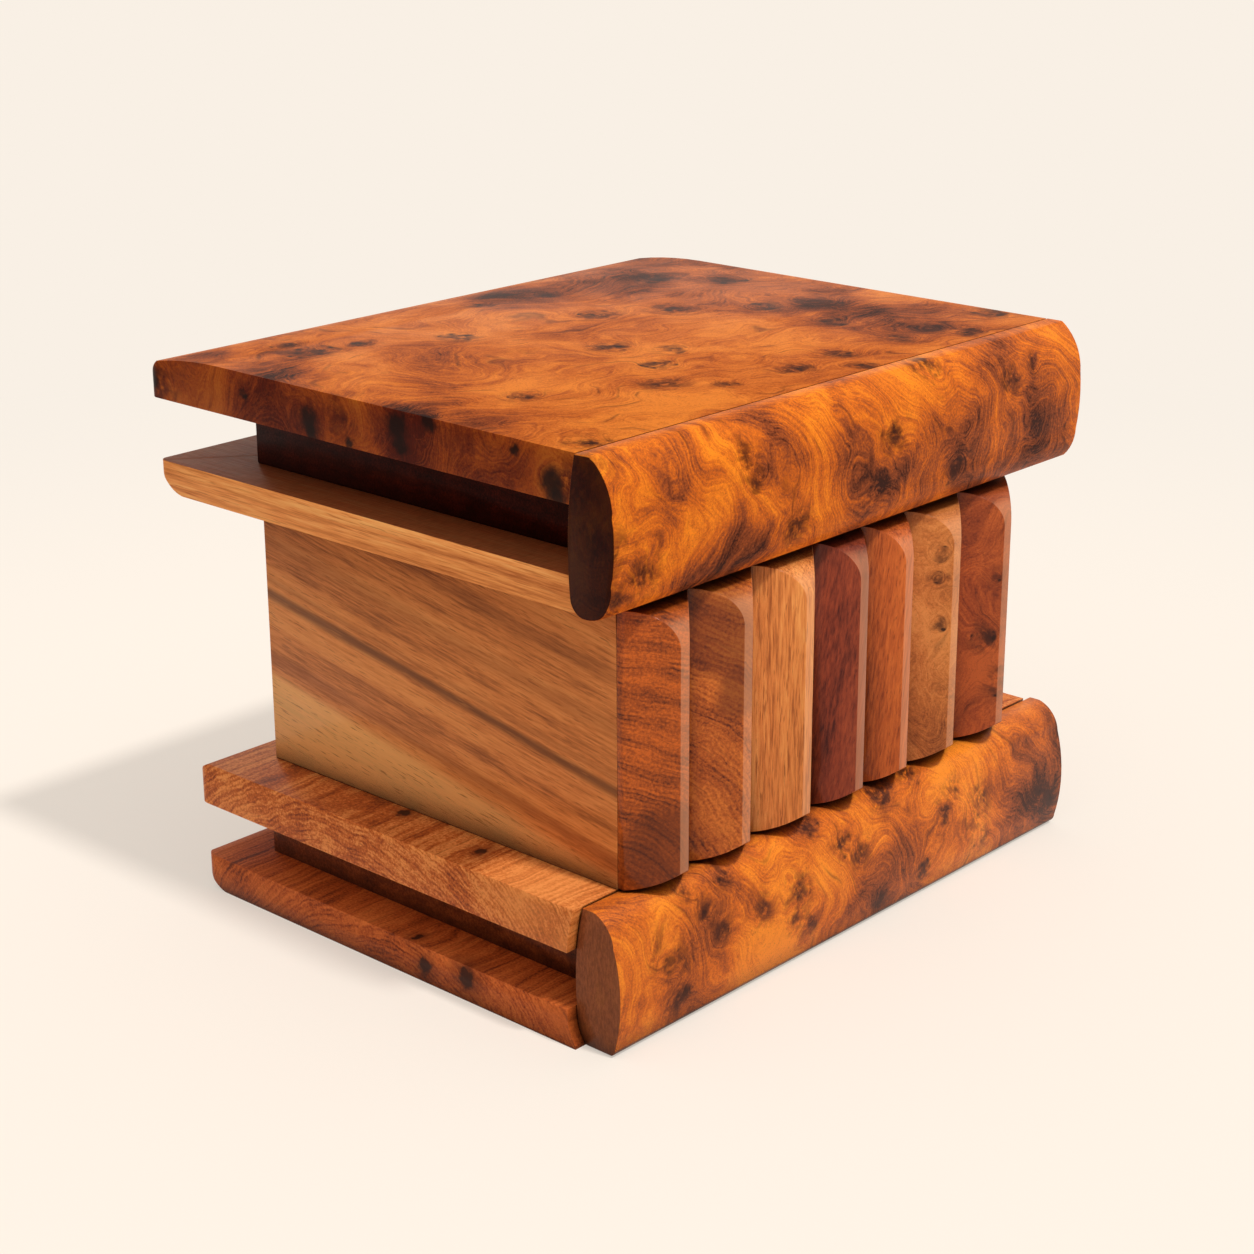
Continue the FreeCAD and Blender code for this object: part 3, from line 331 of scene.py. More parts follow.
class Finish(Pattern):
    """Patterned wood with its wear, its painted shade and highlights, and its lacquer."""

    def facing(self, direction):
        """1 on faces that look along a direction or against it, 0 on the others."""
        looks = self.nodes.new("ShaderNodeTexCoord").outputs["Normal"]
        turned = self.sum("ABSOLUTE", self.move("DOT_PRODUCT", looks, direction))
        return self.step(turned, 0.72, 0.9)

    def front(self):
        """1 on the flat crest of an upright book, where a highlight is painted, 0 on its slanting
        sides.
        """
        flat = self.nodes.new("ShaderNodeNewGeometry").outputs["True Normal"]
        flat = self.add(
            "ShaderNodeVectorTransform", {0: flat},
            vector_type="NORMAL", convert_from="WORLD", convert_to="OBJECT",
        ).outputs[0]
        slant = self.sum("ABSOLUTE", self.move("DOT_PRODUCT", flat, (1, 0, 0)))
        return self.sum("MULTIPLY", self.facing((0, 1, 0)), self.step(slant, 0.4, 0.1))

    def worn_and_highlit_edges(self, colour, strength):
        """Lighter edges: partly wear from sanding and hands, partly a painted highlight."""
        rounded = self.add("ShaderNodeBevel", {"Radius": 0.45 * MM}, samples=4).outputs[0]
        flat = self.nodes.new("ShaderNodeNewGeometry").outputs["Normal"]
        turned = self.sum("SUBTRACT", 1.0, self.move("DOT_PRODUCT", rounded, flat))
        edge_wear_and_highlight = self.step(turned, 0.02, 0.16)
        patchy = self.step(self.cloud(self.place, 3.5, 4, 0.7), 0.38, 0.62, 0.15, 1.0)
        amount = self.sum("MULTIPLY", self.sum("MULTIPLY", edge_wear_and_highlight, patchy), strength)
        lighter = self.mix(1.0, colour, (1.5, 1.45, 1.4, 1.0), "MULTIPLY")
        return self.mix(amount, colour, lighter)

    def shade_in_gaps(self, colour, strength):
        """Painted shade: dark colour in the gaps and corners where little light reaches."""
        open_air = self.add("ShaderNodeAmbientOcclusion", {"Distance": 9 * MM}, samples=6)
        painted_gap_shade = self.step(open_air.outputs["AO"], 0.68, 0.28, 0.0, strength)
        return self.mix(painted_gap_shade, colour, GAP_SHADE)

    def stained_and_shaded_ends(self, colour, direction, stain, amount):
        """Faces along a direction painted darker, fibres seen end on: stain on real cut ends, and
        painted shade where a face turns from the lamp.
        """
        amount = self.sum("MULTIPLY", self.facing(direction), amount)
        fibres = self.cloud(self.move("MULTIPLY", self.place, (0.3, 2.4, 0.8)), 0.9, 5, 0.7)
        light_and_dark = self.step(fibres, 0.3, 0.7, 0.62, 1.35)
        return self.mix(amount, colour, self.move("SCALE", stain[:3], scale=light_and_dark))

    def marked(self, colour, marks):
        """Small black knots, each at (x, y, z, size)."""
        near = self.bend(self.place, 1.8, 2.6, 3)
        for x, y, z, size in marks:
            gap = self.move("DISTANCE", near, (x, y, z))
            here = self.step(gap, size * 1.5, size * 0.5, 0.0, 0.92)
            colour = self.mix(here, colour, BLACK_KNOT)
        return colour

    def lacquer(
        self, colour, relief, rough=0.45, coat=0.08, shine=0.14, ends=None, end_colour=None,
        end_amount=0.6, gloss=0.1, edge_wear_and_highlight=0.35, crest=0.0, marks=(),
    ):
        """Wood under lacquer: colour, small relief, darker ends with painted shade, a painted
        crest highlight, painted shade in gaps and a clear coat.
        """
        if ends:
            # Darker ends: stain, and painted shade on faces that turn from the lamp.
            colour = self.stained_and_shaded_ends(colour, ends, end_colour, end_amount)
        colour = self.marked(colour, marks)
        if crest:
            # A painted highlight along the crest of each book.
            colour = self.mix(self.sum("MULTIPLY", self.front(), crest), colour, CREST_HIGHLIGHT)
        # Paler edges, partly wear and partly a painted highlight, then painted shade in the gaps.
        colour = self.shade_in_gaps(self.worn_and_highlit_edges(colour, edge_wear_and_highlight), 0.9)
        bump = self.add(
            "ShaderNodeBump", {"Height": relief, "Strength": 0.6, "Distance": 0.03 * MM}
        )
        shader = self.add(
            "ShaderNodeBsdfPrincipled",
            {
                "Base Color": colour,
                "Roughness": rough,
                "Normal": bump.outputs[0],
                "Specular IOR Level": gloss,
                "Coat Weight": coat,
                "Coat Roughness": shine,
                "Coat IOR": 1.45,
            },
        )
        self.add("ShaderNodeOutputMaterial", {"Surface": shader.outputs[0]})
        return self.material


# %% [markdown]
# ## Burl
# Burl is wood that grew round hundreds of buds. Each bud is a dark eye, the grain flows
# round it like water round a stone, and where buds crowd together the wood is smoky. So the
# recipe starts with the knots: a list of places. They darken the wood near them, they bend
# the grain, and small eyes open mostly round them.


# %% Knots and dim places
def nearness(finish, at, places, start, end):
    """1 close to the nearest place and 0 away from it, with start and end in its own sizes."""
    nearest = 0.0
    for x, y, z, size in places:
        gap = finish.move("DISTANCE", at, (x, y, z))
        nearest = finish.sum("MAXIMUM", nearest, finish.step(gap, size * start, size * end))
    return nearest


# %% [markdown]
# ## The flow of the grain
# Straight stripes would look like a plank, and plain clouds like marble. Burl is between the
# two. A field rises steadily across the grain, clouds and knots push it about, and everything
# that is drawn along the field then runs in long threads that curl round the knots.


# %% Threads that follow the grain
def grain_flow(finish, near, loose, crowd, wrap, across, seed):
    """The field across the grain, fine threads along it, and the broader bands."""
    field = finish.sum("MULTIPLY_ADD", crowd, wrap, finish.move("DOT_PRODUCT", near, across))
    field = finish.sum("MULTIPLY_ADD", finish.cloud(loose, 26, 1.5), 0.7, field)
    along = finish.cloud(finish.move("ADD", loose, (31, 57, 11)), 24, 1.5)
    threads_across, threads_along = 120, 16
    drift = finish.add(
        "ShaderNodeCombineXYZ",
        {
            0: finish.sum("MULTIPLY", field, threads_across),
            1: finish.sum("MULTIPLY", along, threads_along),
            2: seed,
        },
    ).outputs[0]
    threads = finish.cloud(drift, 1.0, 5, 0.62)
    bands = finish.cloud(finish.move("SCALE", drift, scale=0.22), 1.0, 3, 0.5)
    return field, threads, bands


# %% [markdown]
# ## The eyes
# Each bud that never grew left a small dark eye with a ring round it. Cells give every
# possible bud a place and a lucky number. Near a knot most of them open, elsewhere only the
# luckiest do. There are two sizes of bud.

# %% Open the eyes
PUPIL = paint(34, 13, 7)
BUD_SPACINGS, EYE_RADIUS = (5.0, 2.4), 0.24    # the radius is a share of the spacing


def open_eyes(finish, colour, at, crowd, dark, strength):
    for spacing in BUD_SPACINGS:
        gap, which = finish.cells(finish.bend(at, 3, 1.8, 2), spacing)
        lucky = finish.add("ShaderNodeSeparateColor", {"Color": which}).outputs[0]
        chance = finish.sum("MULTIPLY_ADD", crowd, 0.75, finish.sum("MULTIPLY", lucky, 0.45))
        opened = finish.step(chance, 0.66, 0.76)
        eye = finish.sum("MULTIPLY", finish.step(gap, EYE_RADIUS, EYE_RADIUS * 0.5), opened)
        ring = finish.sum("MULTIPLY", finish.step(gap, EYE_RADIUS * 2.2, EYE_RADIUS), opened)
        colour = finish.mix(finish.sum("MULTIPLY", ring, 0.5 * strength), colour, dark)
        colour = finish.mix(finish.sum("MULTIPLY", eye, 0.92 * strength), colour, PUPIL)
    return colour


# %% [markdown]
# ## The whole burl
# A tone is added up from clouds, threads, bands and fine grain, and four colours are laid
# along it, from almost black to glowing amber. Smoke, dark hearts, thin dark lines, eyes and
# pores come on top, in that order of size.


# %% A recipe for burl
def burl(
    name, knots, glow, warm, brown, dark, smoke=0.75, eyes=1.0, wrap=0.1, spots=0.5,
    seed=0.0, zones=(), across=(0.004, 0.011, 0.006), **lacquer
):
    """knots and zones are lists of (x, y, z, size); the grain lines lie across a direction."""
    finish = Finish(name)
    at = finish.move("ADD", finish.place, (seed, seed * 1.7, seed * 0.6))
    near = finish.bend(finish.place, 9, 5, 2)
    crowd = nearness(finish, near, knots, 1.0, 0.15)
    heart = nearness(finish, near, knots, 0.46, 0.16)
    dim = nearness(finish, finish.bend(finish.place, 22, 16, 3), zones, 1.0, 0.4)
    loose = finish.bend(finish.bend(at, 30, 16), 9, 4, 2)
    field, threads, bands = grain_flow(finish, near, loose, crowd, wrap, across, seed)
    mottle = finish.cloud(loose, 19, 3, 0.55)
    grain = finish.cloud(finish.bend(at, 4, 2), 0.45, 3, 0.7)
    tone = 0.6
    for pattern, strength in ((mottle, 1.15), (threads, 0.75), (bands, 0.48), (grain, 0.55)):
        tone = finish.sum("MULTIPLY_ADD", finish.sum("SUBTRACT", pattern, 0.5), strength, tone)
    tone = finish.sum("MULTIPLY_ADD", dim, -0.26, tone)
    tone = finish.sum("MULTIPLY_ADD", crowd, -0.1 * smoke, tone)
    colour = finish.ramp(tone, [(0.12, dark), (0.34, brown), (0.54, warm), (0.8, glow)])
    lines = finish.sum("POWER", finish.stripes(finish.sum("MULTIPLY", field, 100), 9), 22)
    seldom = finish.step(finish.cloud(loose, 11, 2), 0.5, 0.64, 0.0, 0.5)
    colour = finish.mix(finish.sum("MULTIPLY", lines, seldom), colour, dark)
    puffs = finish.step(finish.cloud(loose, 2.6, 5, 0.66), 0.45, 0.57)
    haze = finish.sum("MULTIPLY", crowd, puffs)
    colour = finish.mix(finish.sum("MULTIPLY", haze, 0.8 * smoke), colour, dark)
    rags = finish.step(finish.cloud(loose, 1.4, 4, 0.6), 0.38, 0.54)
    ragged = finish.sum("MULTIPLY", heart, rags)
    colour = finish.mix(finish.sum("MULTIPLY", ragged, spots), colour, dark)
    colour = open_eyes(finish, colour, at, crowd, dark, eyes)
    pores = finish.cloud(finish.bend(at, 3, 2), 0.3, 3, 0.7)
    colour = finish.mix(finish.step(pores, 0.55, 0.72, 0, 0.45), colour, dark)
    relief = finish.sum("MULTIPLY_ADD", threads, 0.6, pores)
    rough = finish.step(mottle, 0.3, 0.7, 0.52, 0.4)
    return finish.lacquer(colour, relief, rough=rough, **lacquer)


# %% [markdown]
# ## The three burls
# The lid's board, the lid's spine and the base's spine were sawn from different lumps. The
# knots of each were read off the photograph one by one, as places on the box, with
# the size of the dark patch that each makes.

# %% The lid's top board
LID_KNOTS = [
    (-46, 33, 102, 9), (-36, 31, 102, 5), (-45, 41, 102, 6), (-20, 22, 102, 6),
    (-45, -18, 102, 6), (2, 40, 102, 5), (18, 36, 102, 4), (11, 16, 102, 7),
    (-8, -4, 102, 7), (-58, -46, 102, 7), (45, 32, 102, 9), (52, 20, 102, 7),
    (38, -3, 102, 7), (35, -20, 102, 6), (24, 9, 102, 8), (32, -39, 102, 6),
    (43, -38, 102, 8), (45, -45, 102, 6), (62, -38, 102, 8), (15, -38, 102, 6),
    (1, -40, 102, 7), (-16, -38, 102, 5), (-22, -30, 102, 7), (-12, -20, 102, 6),
    (-2, -14, 102, 6), (47, -8, 102, 9), (10, -48, 102, 6), (-65, 54, 96, 8),
    (-65, 13, 96, 8), (-65, 5, 98, 6), (-65, -9, 97, 7), (-65, -16, 101, 5), (-65, -47, 97, 7),
]
LID_ZONES = [
    (46, 30, 102, 30), (44, 2, 102, 26), (42, -28, 102, 24), (12, 40, 102, 16),
    (-62, 45, 102, 10), (-66, -30, 96, 16), (-66, 22, 94, 18), (-66, -8, 98, 12),
]
LID_END_MARKS = [
    (-65, -9, 99.2, 2.4), (-65, -9.6, 96.2, 1.6), (-65, -16.5, 101.2, 1.6),
    (-65, 13, 96.5, 2.2), (-65, 12.4, 94.2, 1.6), (-65, 56.5, 97, 2.4),
    (-65, -44, 96.4, 2.4), (-65, -45, 94, 1.6), (-65, 30, 98, 1.1), (-65, 3, 94.5, 1.1),
    (-65, -36, 100, 1.1),
]
lid_wood = burl(
    "lid_board_burl", LID_KNOTS, paint(220, 124, 42), paint(186, 92, 28),
    paint(134, 60, 22), paint(44, 13, 5), zones=LID_ZONES, coat=0.03, gloss=0.05, spots=0.7,
    # The near end of the lid's board is painted darker: painted shade, as it turns from the lamp.
    ends=(1, 0, 0), end_colour=paint(96, 24, 6), end_amount=0.5, marks=LID_END_MARKS,
)
print("knots in the lid's board:", len(LID_KNOTS), "and on its end:", len(LID_END_MARKS))

# %% [markdown]
# ## The lid's spine
# The lid's spine glows more than the board, because its threads stand almost upright and
# catch the lamp. Its cut ends are painted nearly black: partly stain, partly painted shade, as
# they turn from the lamp.

# %% The lid's spine
SPINE_KNOTS = [
    (-31, -57, 93, 6), (-33, -57, 97, 4), (6, -57, 92, 7), (42, -57, 96, 5), (50, -56, 97, 3),
    (26, -56, 81, 6), (-63, -55, 80, 6), (-58, -56, 82, 7), (-20, -57, 82, 6), (60, -54, 84, 3),
    (20, -53, 101, 6), (-65, -50, 98, 9), (-65, -54, 88, 8),
]
spine_wood = burl(
    "lid_spine_burl", SPINE_KNOTS, paint(255, 146, 38), paint(212, 106, 34),
    paint(146, 72, 38), paint(56, 25, 17), smoke=0.8, eyes=0.5, wrap=0.06, spots=0.7, seed=40.0,
    across=(0.013, 0.002, 0.005), coat=0.06, gloss=0.03,
    zones=[(40, -57, 84, 22), (8, -57, 76, 20), (-36, -57, 76, 18)],
    # The spine's ends are painted nearly black: stain and painted shade.
    ends=(1, 0, 0), end_colour=paint(38, 3, 0), end_amount=0.95,
)
print("knots in the lid's spine:", len(SPINE_KNOTS))

# %% [markdown]
# ## The base's spine
# This lump had more buds, in groups of two and three along its length. Its ends are a
# plainer, darker brown, partly its end grain and partly painted shade, so the eye can tell that
# it isn't the same wood as the lid's.

# %% The base's spine
BASE_KNOTS = [
    (-45, -55, 24, 4), (-42, -56, 19, 4), (-38, -56, 15, 6), (-36, -55, 23, 4),
    (-28, -56, 14, 6), (-17, -56, 14, 6), (-18, -56, 10, 5), (-14, -56, 7, 5),
    (-53, -56, 16, 6), (-50, -56, 13, 6), (-12, -54, 25, 5), (-4, -56, 19, 5),
    (1, -56, 15, 6), (9, -54, 23, 6), (12, -53, 25, 4), (19, -53, 25, 5),
    (26, -56, 15, 6), (38, -56, 14, 7), (35, -56, 11, 6), (39, -56, 6, 6),
    (20, -56, 5, 6), (57, -56, 10, 6), (62, -56, 7, 6), (30, -55, 19, 5),
    (-49, -56, 5, 6), (7, -56, 5, 5),
]
base_spine_wood = burl(
    "base_spine_burl", BASE_KNOTS, paint(248, 146, 44), paint(212, 108, 36),
    paint(154, 76, 36), paint(62, 28, 18), smoke=0.8, eyes=0.6, wrap=0.05, spots=0.85,
    seed=90.0, across=(0.010, 0.002, 0.008), coat=0.1,
    zones=[(60, -55, 12, 20), (10, -57, 2, 16)],
    # The spine's ends are painted darker brown: end grain and painted shade.
    ends=(1, 0, 0), end_colour=paint(122, 68, 42), end_amount=0.9,
)
print("knots in the base's spine:", len(BASE_KNOTS))

# %% [markdown]
# ## Straight-grained wood
# The walls, the page blocks and several of the books are cut from plain boards. A plain
# board is made of fibres, so every cloud is drawn out along the grain, and rings show as
# long bands across it. Small dark dashes are pores that were cut open along their length.


# %% A recipe for plain boards
def plank(
    name, along, bands, pale, warm, dark, ring=3.0, wander=2.0, fibre=0.85, pores=0.6,
    seed=0.0, streaks=(), sapwood=None, stretch=0.94, **lacquer
):
    """along is the grain and bands the direction across the rings.

    streaks are (where, width, strength, colour) across the rings, and sapwood is
    (where it starts, colour, amount).
    """
    finish = Finish(name)
    along, bands = Vector(along).normalized(), Vector(bands).normalized()
    at = finish.move("ADD", finish.place, (seed, seed * 0.7, seed * 1.3))
    run = finish.move("DOT_PRODUCT", at, tuple(along))
    squeezed = finish.move("SCALE", tuple(along), scale=finish.sum("MULTIPLY", run, stretch))
    drawn = finish.move("SUBTRACT", at, squeezed)
    wide = finish.cloud(drawn, 9, 3)
    own = finish.move("DOT_PRODUCT", finish.place, tuple(bands))
    across = finish.sum("MULTIPLY_ADD", finish.sum("SUBTRACT", wide, 0.5), wander * 3, own)
    rings = finish.sum("POWER", finish.stripes(across, ring), 2)
    thin = finish.cloud(drawn, 0.42, 4, 0.65)
    broad = finish.cloud(drawn, 5, 3, 0.6)
    soft = finish.sum("MULTIPLY_ADD", finish.sum("SUBTRACT", broad, 0.5), 0.75, 0.5)
    tone = finish.sum("MULTIPLY_ADD", rings, -0.08, soft)
    tone = finish.sum("MULTIPLY_ADD", finish.sum("SUBTRACT", thin, 0.5), fibre, tone)
    colour = finish.ramp(tone, [(0.2, dark), (0.46, warm), (0.68, pale)])
    for where, width, strength, shade in streaks:
        off = finish.sum("ABSOLUTE", finish.sum("SUBTRACT", across, where))
        here = finish.step(off, width, width * 0.1, 0.0, strength)
        colour = finish.mix(here, colour, shade)
    if sapwood:
        where, shade, amount = sapwood
        outside = finish.step(across, where + 1.2, where - 1.2, 0.0, amount)
        colour = finish.mix(outside, colour, finish.mix(0.25, shade, colour, "MULTIPLY"))
    dashes = finish.cloud(drawn, 0.3, 2, 0.6)
    colour = finish.mix(finish.step(dashes, 0.58, 0.68, 0, pores), colour, dark)
    flecks = finish.cloud(finish.move("ADD", drawn, (9, 5, 3)), 0.5, 2, 0.6)
    colour = finish.mix(finish.step(flecks, 0.6, 0.72, 0, 0.3), colour, pale)
    relief = finish.sum("MULTIPLY_ADD", dashes, -0.6, thin)
    rough = finish.step(thin, 0.3, 0.7, 0.52, 0.4)
    return finish.lacquer(colour, relief, rough=rough, **lacquer)


# %% [markdown]
# ## Which way each board was sawn
# The grain of the side walls runs from front to back and climbs a little, and one dark streak
# and a pale strip of sapwood follow it. The front and back walls are sawn the other way. The
# lid's page block is painted almost black, as painted shade in its deep recess under the
# boards, and the base's page block is brown.

# %% Walls, page blocks and the lid's lower board
WALL_GRAIN = (0, -0.985, -0.17)
WALL_ACROSS = (0, -0.17, 0.985)
WALL_DARK = paint(140, 80, 44)
wall_wood = plank(
    "wall_walnut", WALL_GRAIN, WALL_ACROSS, paint(230, 150, 84), paint(208, 126, 68), WALL_DARK,
    ring=7.0, wander=1.6, seed=12.0,
    streaks=[
        (50.6, 1.8, 0.8, paint(104, 62, 38)), (53.5, 1.2, 0.3, WALL_DARK),
        (61, 2.5, 0.3, WALL_DARK), (70, 2.0, 0.3, WALL_DARK),
        (38, 2.5, 0.5, paint(150, 82, 44)),
    ],
    sapwood=(34.5, paint(255, 200, 128), 0.85),
)
cross_wood = plank(
    "cross_wall_walnut", (0.998, 0, 0.06), (-0.06, 0.1, 0.99), paint(226, 146, 82),
    paint(202, 120, 64), WALL_DARK, ring=6.0, wander=1.6, seed=44.0,
    streaks=[(44, 1.6, 0.6, paint(104, 62, 38)), (58, 2.2, 0.3, WALL_DARK)],
)
pale_wood = plank(
    "lower_board_pale", (0, 1, 0.02), (0.1, 0, 1), paint(255, 190, 116), paint(240, 156, 88),
    paint(184, 104, 54), ring=2.4, wander=0.6, seed=30.0, stretch=0.96,
    # The top and bottom faces of this board are painted darker: painted shade under the lid's top
    # board.
    ends=(0, 0, 1), end_colour=paint(122, 58, 32), end_amount=0.88, coat=0.03, gloss=0.06,
)
# Painted shade: the recessed page block of the lid is painted almost black.
page_wood = plank(
    "page_block_dark", (1, 0, 0), (0, 0, 1), paint(76, 22, 8), paint(52, 11, 4),
    paint(28, 5, 2), ring=2.0, seed=55.0, coat=0.02, gloss=0.04,
)
base_page_wood = plank(
    "base_pages_brown", (1, 0, 0), (0, 0, 1), paint(150, 76, 36), paint(112, 52, 24),
    paint(60, 26, 12), ring=2.0, seed=61.0,
)
plain_boards = (wall_wood, cross_wood, pale_wood, page_wood, base_page_wood)
print("plain boards:", [wood.name for wood in plain_boards])

# %% [markdown]
# ## The base's boards
# Both boards of the base show end grain on their near faces: the growth rings cross the
# face in curved lines, because the middle of the tree was below and to one side. So their
# rings are circles round a line that runs along the boards, with fine rays between.


# %% Patches and small knots
BASE_KNOT = paint(44, 18, 10)


def patches(finish, colour, places, shade, core, strength, ragged):
    """Ragged patches of another shade; core is the share of each that is fully coloured."""
    for x, y, z, size in places:
        gap = finish.move("DISTANCE", finish.bend(finish.place, 8, ragged, 3), (x, y, z))
        colour = finish.mix(finish.step(gap, size, size * core, 0, strength), colour, shade)
    return colour


def small_knots(finish, colour, knots, dark):
    """Small knots with a soft dark ring round each."""
    for x, y, z, size in knots:
        gap = finish.move("DISTANCE", finish.bend(finish.place, 1.6, 3.4, 3), (x, y, z))
        colour = finish.mix(finish.step(gap, size * 2.4, size * 0.6, 0, 0.6), colour, dark)
        colour = finish.mix(finish.step(gap, size, size * 0.5, 0, 0.9), colour, BASE_KNOT)
    return colour


# %% [markdown]
# ## Rings, rays and pores
# The distance from the middle of the tree gives broad rings and the fine rings of single
# years. The same distance, stretched, gives the short hatching of pores along the rings.

# %% A recipe for end grain
YEAR = 0.95    # millimetres that the tree grew in a year


def end_grain(
    name, heart, pale, warm, dark, squeeze=(0.03, 1, 1), ring=1.9, ring_depth=0.09, blotch=0.6,
    knots=(), shadows=(), lights=(), seed=0.0, **lacquer
):
    """heart is a point on the middle of the tree, and squeeze is small along the tree.

    knots, shadows and the patches of light are lists of (x, y, z, size): small knots, dark
    patches and patches of painted light.
    """
    finish = Finish(name)
    at = finish.bend(finish.place, 14, 2.5, 2)
    flat = finish.move("MULTIPLY", at, squeeze)
    centre = tuple(a * b for a, b in zip(heart, squeeze))
    radius = finish.move("DISTANCE", flat, centre)
    wobble = finish.sum("SUBTRACT", finish.cloud(flat, 6, 3), 0.5)
    radius = finish.sum("MULTIPLY_ADD", wobble, 3.0, radius)
    rings = finish.sum("POWER", finish.stripes(radius, ring), 1.6)
    grit = finish.cloud(finish.place, 0.45, 2, 0.6)
    broad = finish.cloud(finish.move("ADD", flat, (seed, seed, seed)), 9, 3, 0.6)
    soft = finish.sum("MULTIPLY_ADD", finish.sum("SUBTRACT", broad, 0.5), blotch, 0.5)
    tone = finish.sum("MULTIPLY_ADD", rings, -ring_depth, soft)
    spoke = finish.move("DOT_PRODUCT", flat, (0.3, 0.4, 0.3))
    hatch = finish.add(
        "ShaderNodeCombineXYZ", {0: finish.sum("MULTIPLY", radius, 2.2), 1: spoke, 2: seed}
    ).outputs[0]
    tone = finish.sum(
        "MULTIPLY_ADD", finish.sum("SUBTRACT", finish.cloud(hatch, 1.0, 4, 0.6), 0.5), 0.5, tone
    )
    years = finish.sum("POWER", finish.stripes(radius, YEAR), 1.5)
    faint = finish.step(finish.cloud(finish.place, 5, 2), 0.35, 0.65, 0.03, 0.16)
    tone = finish.sum("SUBTRACT", tone, finish.sum("MULTIPLY", years, faint))
    tone = finish.sum("MULTIPLY_ADD", finish.sum("SUBTRACT", grit, 0.5), 0.6, tone)
    colour = finish.ramp(tone, [(0.16, dark), (0.38, warm), (0.6, pale)])
    dashes = finish.cloud(finish.move("SCALE", hatch, scale=1.7), 1.0, 2, 0.7)
    colour = finish.mix(finish.step(dashes, 0.56, 0.7, 0, 0.4), colour, dark)
    colour = finish.mix(finish.step(dashes, 0.42, 0.3, 0, 0.25), colour, pale)
    colour = patches(finish, colour, shadows, dark, core=0.5, strength=0.6, ragged=6)
    # Painted patches of light.
    colour = patches(finish, colour, lights, pale, core=0.3, strength=0.45, ragged=4)
    colour = small_knots(finish, colour, knots, dark)
    relief = finish.sum("MULTIPLY_ADD", rings, 0.4, grit)
    return finish.lacquer(colour, relief, rough=0.46, **lacquer)


# %% [markdown]
# ## The upper and the lower board
# The upper board has two small knots on its ledge, and painted light on the front of its
# ledge and at its front corner. The lower board is redder, from a tree whose middle was
# elsewhere, has a group of dark knots on its near face, and a small patch of painted light
# at its front corner.

# %% The two boards of the base
base_wood = end_grain(
    "base_board_grain", (0, 8, -28), paint(236, 150, 80), paint(192, 96, 40),
    paint(122, 52, 20), ring=2.3, seed=5.0,
    knots=[(-57.4, 0.7, 25.4, 1.7), (-59.6, -21.2, 25.4, 1.8)],
    # Painted light: a pool of lamp light on the front of the ledge, and a lit front corner.
    lights=[(-62, -38, 26, 15), (-66, -48, 17, 6)],
)
base_lower_wood = end_grain(
    "base_lower_grain", (0, -2, -30), paint(212, 112, 52), paint(180, 84, 36),
    paint(104, 44, 20), ring=2.1, seed=17.0,
    knots=[(-64, -9.3, 6.8, 1.4), (-66, -23.4, 4.5, 2.6), (-66, -13, 3.0, 2.0)],
    # Painted light: a lit front corner.
    lights=[(-66, -46, 4, 5)],
)
print("boards of the base:", base_wood.name, base_lower_wood.name)

# %% [markdown]
# ## Seven books, seven woods
# The books were cut from whatever offcuts lay on the bench, so no two match: some are
# burl, one is pale and straight, one is nearly purple. Each gets its own recipe, and all
# have more lacquer than the boards and a painted highlight along the crest.

# %% The woods of the books
UP = (0, 0, 1)
# The crest number sets the painted highlight on each crest; the edge number lightens edges,
# partly wear and partly a painted highlight.
BOOK_COAT = {"coat": 0.28, "shine": 0.1, "edge_wear_and_highlight": 0.7, "crest": 0.32}
book_woods = {
    1: end_grain(
        "book_1_wood", (-62, 0, 22), paint(208, 102, 34), paint(158, 74, 26), paint(86, 36, 16),
        squeeze=(1, 0.03, 1), ring=4.2, ring_depth=0.1, blotch=0.4,
        shadows=[(-50, -55, 32, 11)], **BOOK_COAT,
    ),
    2: end_grain(
        "book_2_wood", (-66, 0, 20), paint(226, 130, 54), paint(186, 94, 38), paint(98, 42, 22),
        squeeze=(1, 0.03, 1), ring=7.0, ring_depth=0.14, seed=9.0,
        blotch=0.4, shadows=[(-36, -55, 66, 10), (-32, -55, 56, 6)], **BOOK_COAT,
    ),
    3: plank(
        "book_3_wood", UP, (1, 0.2, 0), paint(246, 168, 92), paint(226, 138, 70),
        paint(156, 84, 38), ring=3.2, seed=3.0, fibre=1.1, pores=0.8, **BOOK_COAT,
    ),
    4: plank(
        "book_4_wood", (0.2, 0, 1), (1, 0.2, 0), paint(166, 76, 44), paint(136, 58, 36),
        paint(70, 22, 18), ring=4.0, seed=70.0, pores=0.5, **BOOK_COAT,
    ),
    5: plank(
        "book_5_wood", (0.15, 0, 1), (1, 0.2, 0), paint(224, 118, 52), paint(196, 96, 42),
        paint(122, 50, 24), ring=3.5, seed=81.0, pores=0.6, **BOOK_COAT,
    ),
    6: burl(
        "book_6_wood",
        [
            (24, -55, 61, 3), (27, -55, 61, 3), (25, -55, 53, 3), (24, -55, 66, 3),
            (27, -55, 40, 4),
        ],
        paint(226, 146, 78), paint(200, 118, 58), paint(160, 88, 42), paint(70, 34, 18),
        smoke=0.8, seed=25.0, **BOOK_COAT,
    ),
    7: burl(
        "book_7_wood", [(45, -55, 36, 7), (42, -55, 58, 4), (48, -54, 70, 6), (40, -55, 46, 5)],
        paint(196, 98, 46), paint(160, 74, 36), paint(120, 50, 28), paint(56, 22, 14),
        smoke=0.8, seed=66.0, **BOOK_COAT,
    ),
}
print("books:", [wood.name for wood in book_woods.values()])

